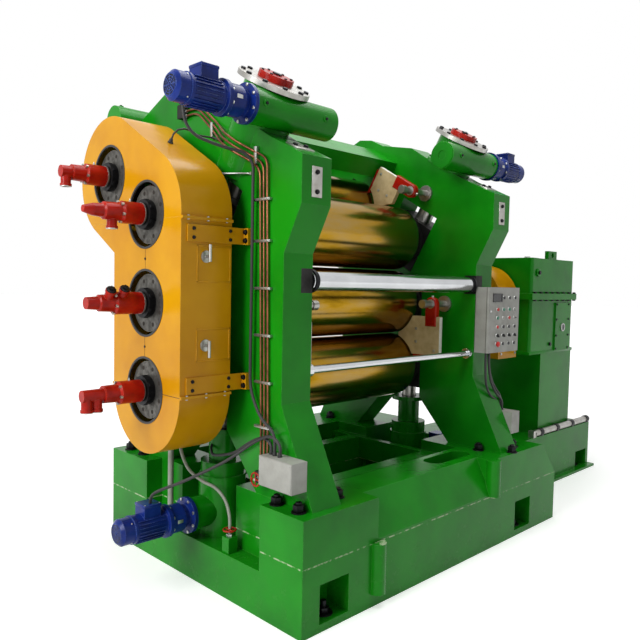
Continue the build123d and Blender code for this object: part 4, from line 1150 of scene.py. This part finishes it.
@dataclass
class CableFittings:
    """Lids, screws and glands of the junction boxes, the free-hung cables and the pipe clips."""

    cable_radius: float = 8.0
    gland_radius: float = 12.0
    box_x: float = 1070.0
    box_top: float = 812.0
    motor_cable_foot: tuple[float, float] = (-1020.0, -629.5)
    pipe_pitch: float = 27.0

    def build(self) -> None:
        """Build the boxes' fittings, the cables and the clips."""
        lids, screws, glands = Shape("junction_lids"), Shape("junction_screws"), Shape("cable_glands")
        for side in BOTH:
            x = side * self.box_x
            lids.span((x - side, -808, 670), (x + side * 3, -572, self.box_top), 1.5)
            for y in (-796, -584):
                for z in (682, 800):
                    screws.cap_screw(aim((x + side * 2, y, z), (side, 0, 0)), 4)
        feet = [self.motor_cable_foot]
        for name, points in self.routes().items():
            cable = Shape(name)
            cable.tube(smooth(points), self.cable_radius, 12)
            cable.seat("frame", RUBBER, 60)
            feet.append(points[-1][:2])
        for x, y in feet:
            glands.drum(aim((x, y, self.box_top + 1), UP), self.gland_radius, 8, 6)
            nose = aim((x, y, self.box_top + 9), UP)
            glands.drum(nose, self.gland_radius * 0.9, 14, 20, self.cable_radius * 1.1)
        lids.seat("frame", GREY)
        screws.seat("frame", ZINC)
        glands.seat("frame", RUBBER)
        self.clip_pipes()

    def routes(self) -> dict[str, tuple[tuple[float, float, float], ...]]:
        """Give each cable's route down to the top of its junction box.

        Returns:
            The listed points of each cable, by its name.
        """
        top = self.box_top
        return {
            "lower_motor_cable": (
                (-1352, -20, 494), (-1350, -62, 560), (-1262, -205, 640), (-1130, -370, 752),
                (-1046, -500, 862), (-1026, -600, 906), (-1020, -664, 872), (-1020, -668, top),
            ),
            "lower_column_cable": (
                (-946, 0, 742), (-978, -40, 722), (-1004, -110, 712), (-1010, -284, 760),
                (-1010, -430, 846), (-1010, -530, 884), (-1012, -588, 862), (-1012, -594, top),
            ),
            "panel_cable_left": (
                (806, -690, 1228), (808, -690, 1120), (824, -690, 1010), (880, -690, 930),
                (950, -690, 892), (988, -690, 862), (992, -690, top),
            ),
            "panel_cable_middle": (
                (830, -700, 1228), (836, -700, 1130), (862, -702, 1030), (924, -704, 948),
                (990, -704, 900), (1014, -704, 868), (1016, -704, top),
            ),
            "panel_cable_right": (
                (856, -680, 1228), (866, -680, 1140), (900, -680, 1044), (962, -680, 968),
                (1020, -680, 916), (1040, -680, 872), (1042, -680, top),
            ),
        }

    def clip_pipes(self) -> None:
        """Hold the pipes and the cable to the housing with clips, and lead the grease tube."""
        clips, tube, fittings = Shape("pipe_clips"), Shape("cover_grease_tube"), Shape("pipe_fittings")
        face = CLIP_X + 22
        for z in (2090, 1880, 1640, 1400, 1160, 930):
            y = -440 - (2240 - z) * 40 / 1420
            clips.span((CLIP_X, y - 78, z - 7), (face, y + 48, z + 7), 2)
            clips.bolt(aim((CLIP_X, y - 68, z), OUT_X), 7, False)
        for y, z in ((-20, 2498), (-404, 2318)):
            clips.span((CLIP_X, y - 10, z - 44), (face, y + 10, z + 44), 2)
        route = (
            (-1075, -120, 2240), (-1040, -180, 2240), (-1000, -260, 2238),
            (-988, -320, 2234), (-983, -344, 2232), (-972, -352, 2232),
        )
        tube.tube(smooth(route, 5), 5, 10)
        tube.seat("frame", ZINC, 60)
        fittings.drum(aim((-970.5, -352, 2232), OUT_X), 9, 9, 6)
        for step in (0, self.pipe_pitch, 2 * self.pipe_pitch):
            fittings.drum(aim((-984, 241, 2618 + step), FRONT), 10, 16, 6)
            fittings.drum(aim((-984, -480 - step, 699), UP), 10, 16, 6)
        fittings.seat("frame", ZINC)
        clips.seat("frame", ZINC)


@dataclass(frozen=True)
class GuideRow:
    """Place of the two stock guides of one nip, from the nip's middle line."""

    name: str
    nip: tuple[float, float]
    turn: float
    x: float
    reach: float
    half: float
    arm: int


@dataclass
class GuideFittings:
    """Screws, white wear strips and red bars of the stock guides, and the roller's end rings."""

    rows: tuple[GuideRow, ...] = (
        GuideRow("lower", (0.0, 1324.5), 0.0, 620, 445, 134, -1),
        GuideRow("upper", (197.0, 2120.75), 60.0, 600, 400, 118, 1),
    )
    plate_half: float = 16.0
    screw: float = 11.0

    def build(self) -> None:
        """Dress the four stock guides and the guide roller."""
        for row in self.rows:
            for name, side in (("operator", OPERATOR), ("drive", DRIVE)):
                self.dress(row, f"guide_{row.name}_{name}", side)
        rings = Shape("guide_roller_rings")
        centre = middle("guide_roller")
        for side in BOTH:
            for x, radius, length in ((757, 63, 16), (741, 58, 12)):
                rings.ring(aim((side * x, centre.y, centre.z), (-side, 0, 0)), 52, radius, length, 48)
        rings.seat("guide_roller", BLACKED)

    def dress(self, row: GuideRow, body: str, side: int) -> None:
        """Dress one stock guide.

        Args:
            row: Where the guides of its nip stand.
            body: The CAD body that it is, which names its pieces.
            side: 1 at the drive side, otherwise -1.
        """
        cosine, sine = math.cos(math.radians(row.turn)), math.sin(math.radians(row.turn))
        along, across = Vector((0, -cosine, sine)), Vector((0, -sine, -cosine))
        upright = Matrix.Identity(4)
        upright.col[1].xyz, upright.col[2].xyz = along, across
        nip = Vector((side * row.x, *row.nip))
        tip, inset = row.reach - 40, row.half - 34
        screws, bars, strips = (Shape(f"{body}_{piece}") for piece in ("screws", "bar", "strip"))
        rod = nip + along * 372 + across * row.arm * 222
        for face in BOTH:
            out = (face, 0, 0)
            for at, off in ((250, -46), (250, 46), (tip, -inset), (tip, inset)):
                spot = aim(nip + along * at + across * off + Vector((face * (self.plate_half - 1), 0, 0)), out)
                screws.drum(spot, self.screw, 2.4, 20)
                screws.drum(spot, self.screw * 0.55, 6, 6)
            screws.ring(aim(rod + Vector((face * 21.5, 0, 0)), out), 23.2, 33, 3, 32)
        way = across * row.arm
        screws.drum(aim(rod + way * 45.5, way), 9, 12, 6)
        edge = Matrix.Translation(nip + along * (row.reach + 1.5)) @ upright
        strips.block(edge, (self.plate_half * 2 - 4, 5, 2 * row.half - 6), 0.8)
        rest = Matrix.Translation(nip + along * (row.reach - 120) - way * (row.half + 7)) @ upright
        bars.block(rest, (self.plate_half * 2 + 6, 190, 15), 1.5)
        screws.seat(body, ZINC)
        strips.seat(body, WHITE)
        bars.seat(body, RED)


@dataclass
class BaseFittings:
    """Anchor bolts in their pockets, the valves with red handwheels and the drain hose."""

    anchor: float = 30.0
    anchor_spots: tuple[tuple[float, float, float], ...] = ((-860, 831, 40), (983, 831, 40), (2904, 383, 22))
    wheel_radius: float = 34.0

    def build(self) -> None:
        """Build the anchors, the valves and the hose."""
        anchors = Shape("anchor_bolts")
        for x, y, z in self.anchor_spots:
            for side in BOTH:
                self.stand_anchor(anchors, aim((x, side * y, z), UP))
        anchors.seat("frame", BLACKED)
        wheels, bodies = Shape("valve_handwheels"), Shape("valve_bodies")
        for seat in (aim((-1040, -300, 319), UP), aim((-1004, -507, 672), OUT_X)):
            bodies.drum(seat, 18, 14, 6)
            bodies.drum(raised(seat, 14), 7, 30, 16)
            rim = raised(seat, 36)
            points = [place.translation for place in circle(rim, self.wheel_radius, 28)]
            wheels.tube([*points, *points[:2]], 4.5)
            for spoke in circle(rim, self.wheel_radius / 2, 4):
                wheels.block(spoke, (self.wheel_radius, 6, 4))
            wheels.drum(raised(rim, -5), 9, 11, 20, edge=1)
        wheels.seat("frame", RED)
        bodies.seat("frame", ZINC)
        hose = Shape("notch_drain_hose")
        route = (
            (-1100, 96, 792), (-1092, 84, 700), (-1072, 40, 612), (-1052, -60, 566),
            (-1040, -170, 548), (-1036, -252, 500), (-1036, -292, 420), (-1040, -300, 330),
        )
        hose.tube(smooth(route, 8), 9, 14)
        hose.seat("frame", HOSE, 60)

    def stand_anchor(self, anchors: Shape, seat: Matrix) -> None:
        """Stand one anchor bolt with its washer and nut on a pocket's floor.

        Args:
            anchors: Collects the bolts.
            seat: The pocket's floor.
        """
        anchors.drum(seat, self.anchor * 1.6, 6)
        anchors.drum(raised(seat, 6), self.anchor * 0.98, 26, 6, edge=1.5)
        anchors.drum(raised(seat, 32), self.anchor * 0.52, 34, 20, edge=1.5)


@dataclass
class DriveFittings:
    """Bolts, oil gauge, breather, plugs and screws of the reducer, its guard and the coupling."""

    joint_bolt: float = 16.0
    foot_bolt: float = 17.6
    axis_z: float = 1552.0
    front: float = -406.0
    panel_front: float = -418.0
    split_top: float = 1626.0
    split_bottom: float = 1574.0
    top: float = 1919.0

    def build(self) -> None:
        """Build the pieces on the drive side."""
        self.bolt_case()
        self.add_bosses()
        self.bolt_guard()
        self.bolt_coupling()
        self.hold_rail()

    def bolt_case(self) -> None:
        """Bolt the joint of the reducer's case all round."""
        bolts = Shape("reducer_joint_bolts")
        for side in BOTH:
            for x in range(1990, 2721, 104):
                bolts.bolt(aim((x, side * 418, self.split_top), UP), self.joint_bolt)
                bolts.bolt(aim((x, side * 418, self.split_bottom), DOWN), self.joint_bolt, False)
        for y in (-330, -200, 200, 330):
            bolts.bolt(aim((2732, y, self.split_top), UP), self.joint_bolt)
        bolts.seat("frame", BLACKED)

    def add_bosses(self) -> None:
        """Add the case's bosses, covers, plugs, small bolts, oil gauge and breather."""
        green, small = Shape("reducer_bosses"), Shape("reducer_small_bolts")
        gauge, bright = Shape("oil_gauge_glass"), Shape("oil_gauge_rim")
        green.span((1946, self.front - 2, 1112), (2744, 408, 1140), 3)
        green.drum(aim((2050, self.front, 1800), FRONT), 34, 12, edge=2)
        for x in (2150, 2500):
            green.span((x, -300, self.top), (x + 120, 300, self.top + 13), 3)
        for place in circle(aim((2762, 0, 1600), (1, 0, 0)), 128, 8, 22.5):
            small.bolt(place, 14)
        for x in (2396, 2624):
            for z in (1146, 1260, 1400, 1532):
                small.bolt(aim((x, self.panel_front, z), FRONT), 10, False)
        small.drum(aim((2050, self.panel_front, 1800), FRONT), 16, 12, 6)
        small.drum(aim((2300, self.front, 1190), FRONT), 15, 14, 6)
        for x in (1985, 2670):
            for y in (-380, 380):
                small.bolt(aim((x, y, 1140), UP), self.foot_bolt)
        spot = aim((2510, self.panel_front, 1330), FRONT)
        gauge.drum(spot, 27, 5)
        bright.ring(spot, 26, 36, 9)
        bright.drum(aim((2620, 0, self.top), UP), 20, 26, 6)
        bright.drum(aim((2620, 0, self.top + 26), UP), 27, 20, 24, edge=3)
        green.seat("frame", GREEN)
        small.seat("frame", BLACKED)
        bright.seat("frame", ZINC)
        gauge.seat("frame", GLASS_DARK)

    def bolt_guard(self) -> None:
        """Bolt the guard's sides and its round face."""
        low, high = box_of("coupling_guard")
        screws = Shape("guard_screws")
        for z in (1130, 1300, 1480):
            for side in BOTH:
                for x in (low.x + 40, high.x - 24):
                    screws.bolt(aim((x, side * 300, z), (0, side, 0)), 10)
        for place in circle(aim((low.x, 0, self.axis_z), OUT_X), 270, 8):
            if place.translation.z > 1450:
                screws.bolt(place, 10)
        screws.seat("frame", ZINC)

    def bolt_coupling(self) -> None:
        """Bolt the coupling's flanges together, on the driven roll."""
        bolts = Shape("coupling_bolts")
        for place in circle(aim((1700, 0, self.axis_z), OUT_X), 135, 8, 10):
            bolts.bolt(place, 18, False)
        bolts.seat("roll_3", BLACKED)

    def hold_rail(self) -> None:
        """Stand the rail on small black saddles."""
        saddles = Shape("rail_saddles")
        centre = box_of("drive_rail")[0].y + 23
        for x in (2110, 2400, 2690, 3000):
            saddles.span((x, centre - 20, 419), (x + 46, centre + 60, 440), 2)
            saddles.ring(aim((x, -435, 448), (1, 0, 0)), 27.5, 33, 46, 32)
        saddles.seat("frame", BLACKED)


# ---------------------------------------------------------------- studio


@dataclass
class Studio:
    """Pale floor, soft lamps and the camera at the photograph's viewpoint, in metres."""

    eye: tuple[float, float, float] = (-3.16128, -3.08630, 1.66924)
    heading: float = 44.775
    pitch_down: float = 3.113
    roll: float = -1.187
    focal_px: float = 665.73
    picture_px: float = 640.0
    sensor_mm: float = 36.0
    floor_half: float = 60.0
    surroundings: float = 0.2

    def build(self) -> None:
        """Set up camera, floor, lamps and colour view."""
        self.place_camera()
        self.lay_floor()
        self.light_room()
        bpy.context.scene.view_settings.view_transform = "Standard"
        LOG.info("studio ready")

    def place_camera(self) -> None:
        """Set the camera from its heading, pitch, roll and focal length in pixels."""
        heading, pitch, roll = (math.radians(a) for a in (self.heading, self.pitch_down, self.roll))
        ahead = Vector((math.sin(heading) * math.cos(pitch), math.cos(heading) * math.cos(pitch), -math.sin(pitch)))
        right = Vector((math.cos(heading), -math.sin(heading), 0))
        down = ahead.cross(right)
        right_rolled = right * math.cos(roll) + down * math.sin(roll)
        down_rolled = down * math.cos(roll) - right * math.sin(roll)
        turn = Matrix((right_rolled, -down_rolled, -ahead)).transposed().to_4x4()
        lens = bpy.data.cameras.new("viewpoint")
        lens.sensor_fit = "HORIZONTAL"
        lens.sensor_width = self.sensor_mm
        lens.lens = self.focal_px / self.picture_px * self.sensor_mm
        camera = bpy.data.objects.new("viewpoint", lens)
        camera.matrix_world = Matrix.Translation(self.eye) @ turn
        bpy.context.collection.objects.link(camera)
        bpy.context.scene.camera = camera

    def lay_floor(self) -> None:
        """Lay the pale floor that carries the shadow."""
        net = bmesh.new()
        bmesh.ops.create_grid(net, x_segments=1, y_segments=1, size=self.floor_half)
        data = bpy.data.meshes.new("floor")
        net.to_mesh(data)
        net.free()
        floor = bpy.data.objects.new("floor", data)
        bpy.context.collection.objects.link(floor)
        material, tree, place = started("pale_sealed_floor")
        cloud = add(tree, "TexNoise", place, Scale=0.7, Detail=4.0)
        share = add(tree, "MapRange", cloud, 0.3, 0.7)
        colour = add(tree, "Mix", share, "F6F6F5", "F1F1F0", data_type="RGBA")
        body = add(tree, "BsdfPrincipled", Base_Color=colour, Roughness=0.62, Specular_IOR_Level=0.2)
        # The floor's own paleness as the camera sees it, full white further away
        rays = add(tree, "LightPath").outputs
        seen = add(tree, "Math", rays["Is Camera Ray"], rays["Is Glossy Ray"], operation="MAXIMUM")
        away = add(tree, "VectorMath", place, operation="LENGTH")
        paler = add(tree, "MapRange", away, 2.5, 9.0, 0.42, 1.0)
        glow = add(tree, "Math", seen, paler, operation="MULTIPLY")
        pale = add(tree, "Emission", "FFFFFF", glow)
        add(tree, "OutputMaterial", add(tree, "AddShader", body, pale))
        data.materials.append(material)

    def hang_lamp(self, name: str, at: Sequence[float], target: Sequence[float], size: float, watts: float) -> None:
        """Hang one soft square lamp.

        Args:
            name: The lamp's name.
            at: Its place.
            target: The point it faces.
            size: The side of its square.
            watts: Its power.
        """
        light = bpy.data.lights.new(name, "AREA")
        light.shape = "SQUARE"
        light.size = size
        light.energy = watts
        lamp = bpy.data.objects.new(name, light)
        lamp.matrix_world = aim(at, Vector(at) - Vector(target))
        bpy.context.collection.objects.link(lamp)

    def light_room(self) -> None:
        """Light the room from its white surroundings and three soft lamps."""
        world = bpy.data.worlds.new("white_surroundings")
        world.use_nodes = True
        tree = world.node_tree
        tree.nodes.clear()
        rays = add(tree, "LightPath").outputs
        seen = add(tree, "Math", rays["Is Camera Ray"], rays["Is Transmission Ray"], operation="MAXIMUM")
        white = add(tree, "Math", seen, rays["Is Glossy Ray"], operation="MAXIMUM")
        strength = add(tree, "MapRange", white, 0.0, 1.0, self.surroundings, 1.0)
        add(tree, "OutputWorld", add(tree, "Background", "FFFFFF", strength))
        bpy.context.scene.world = world
        self.hang_lamp("key_from_operator_side", (-7.0, -0.4, 4.4), (0.0, 0.0, 1.2), 3.5, 470)
        self.hang_lamp("top_softbox", (0.5, -0.5, 6.5), (0.6, 0.0, 0.8), 4.5, 260)
        self.hang_lamp("front_fill", (1.5, -6.5, 3.0), (0.5, 0.0, 1.1), 3.5, 12)


SUB_ASSEMBLIES = (
    CoverFittings,
    HubFittings,
    JointFittings,
    MotorFittings,
    ScrewFittings,
    HousingFittings,
    PanelFittings,
    CableFittings,
    GuideFittings,
    BaseFittings,
    DriveFittings,
    Studio,
)


def main() -> None:
    """Build the classes in order."""
    logging.basicConfig(level=logging.INFO, format="%(name)s: %(message)s")
    PAINTS.dress_frame()
    for sub_assembly in SUB_ASSEMBLIES:
        LOG.info("building %s", sub_assembly.__name__)
        sub_assembly().build()


if __name__ == "__main__":
    main()
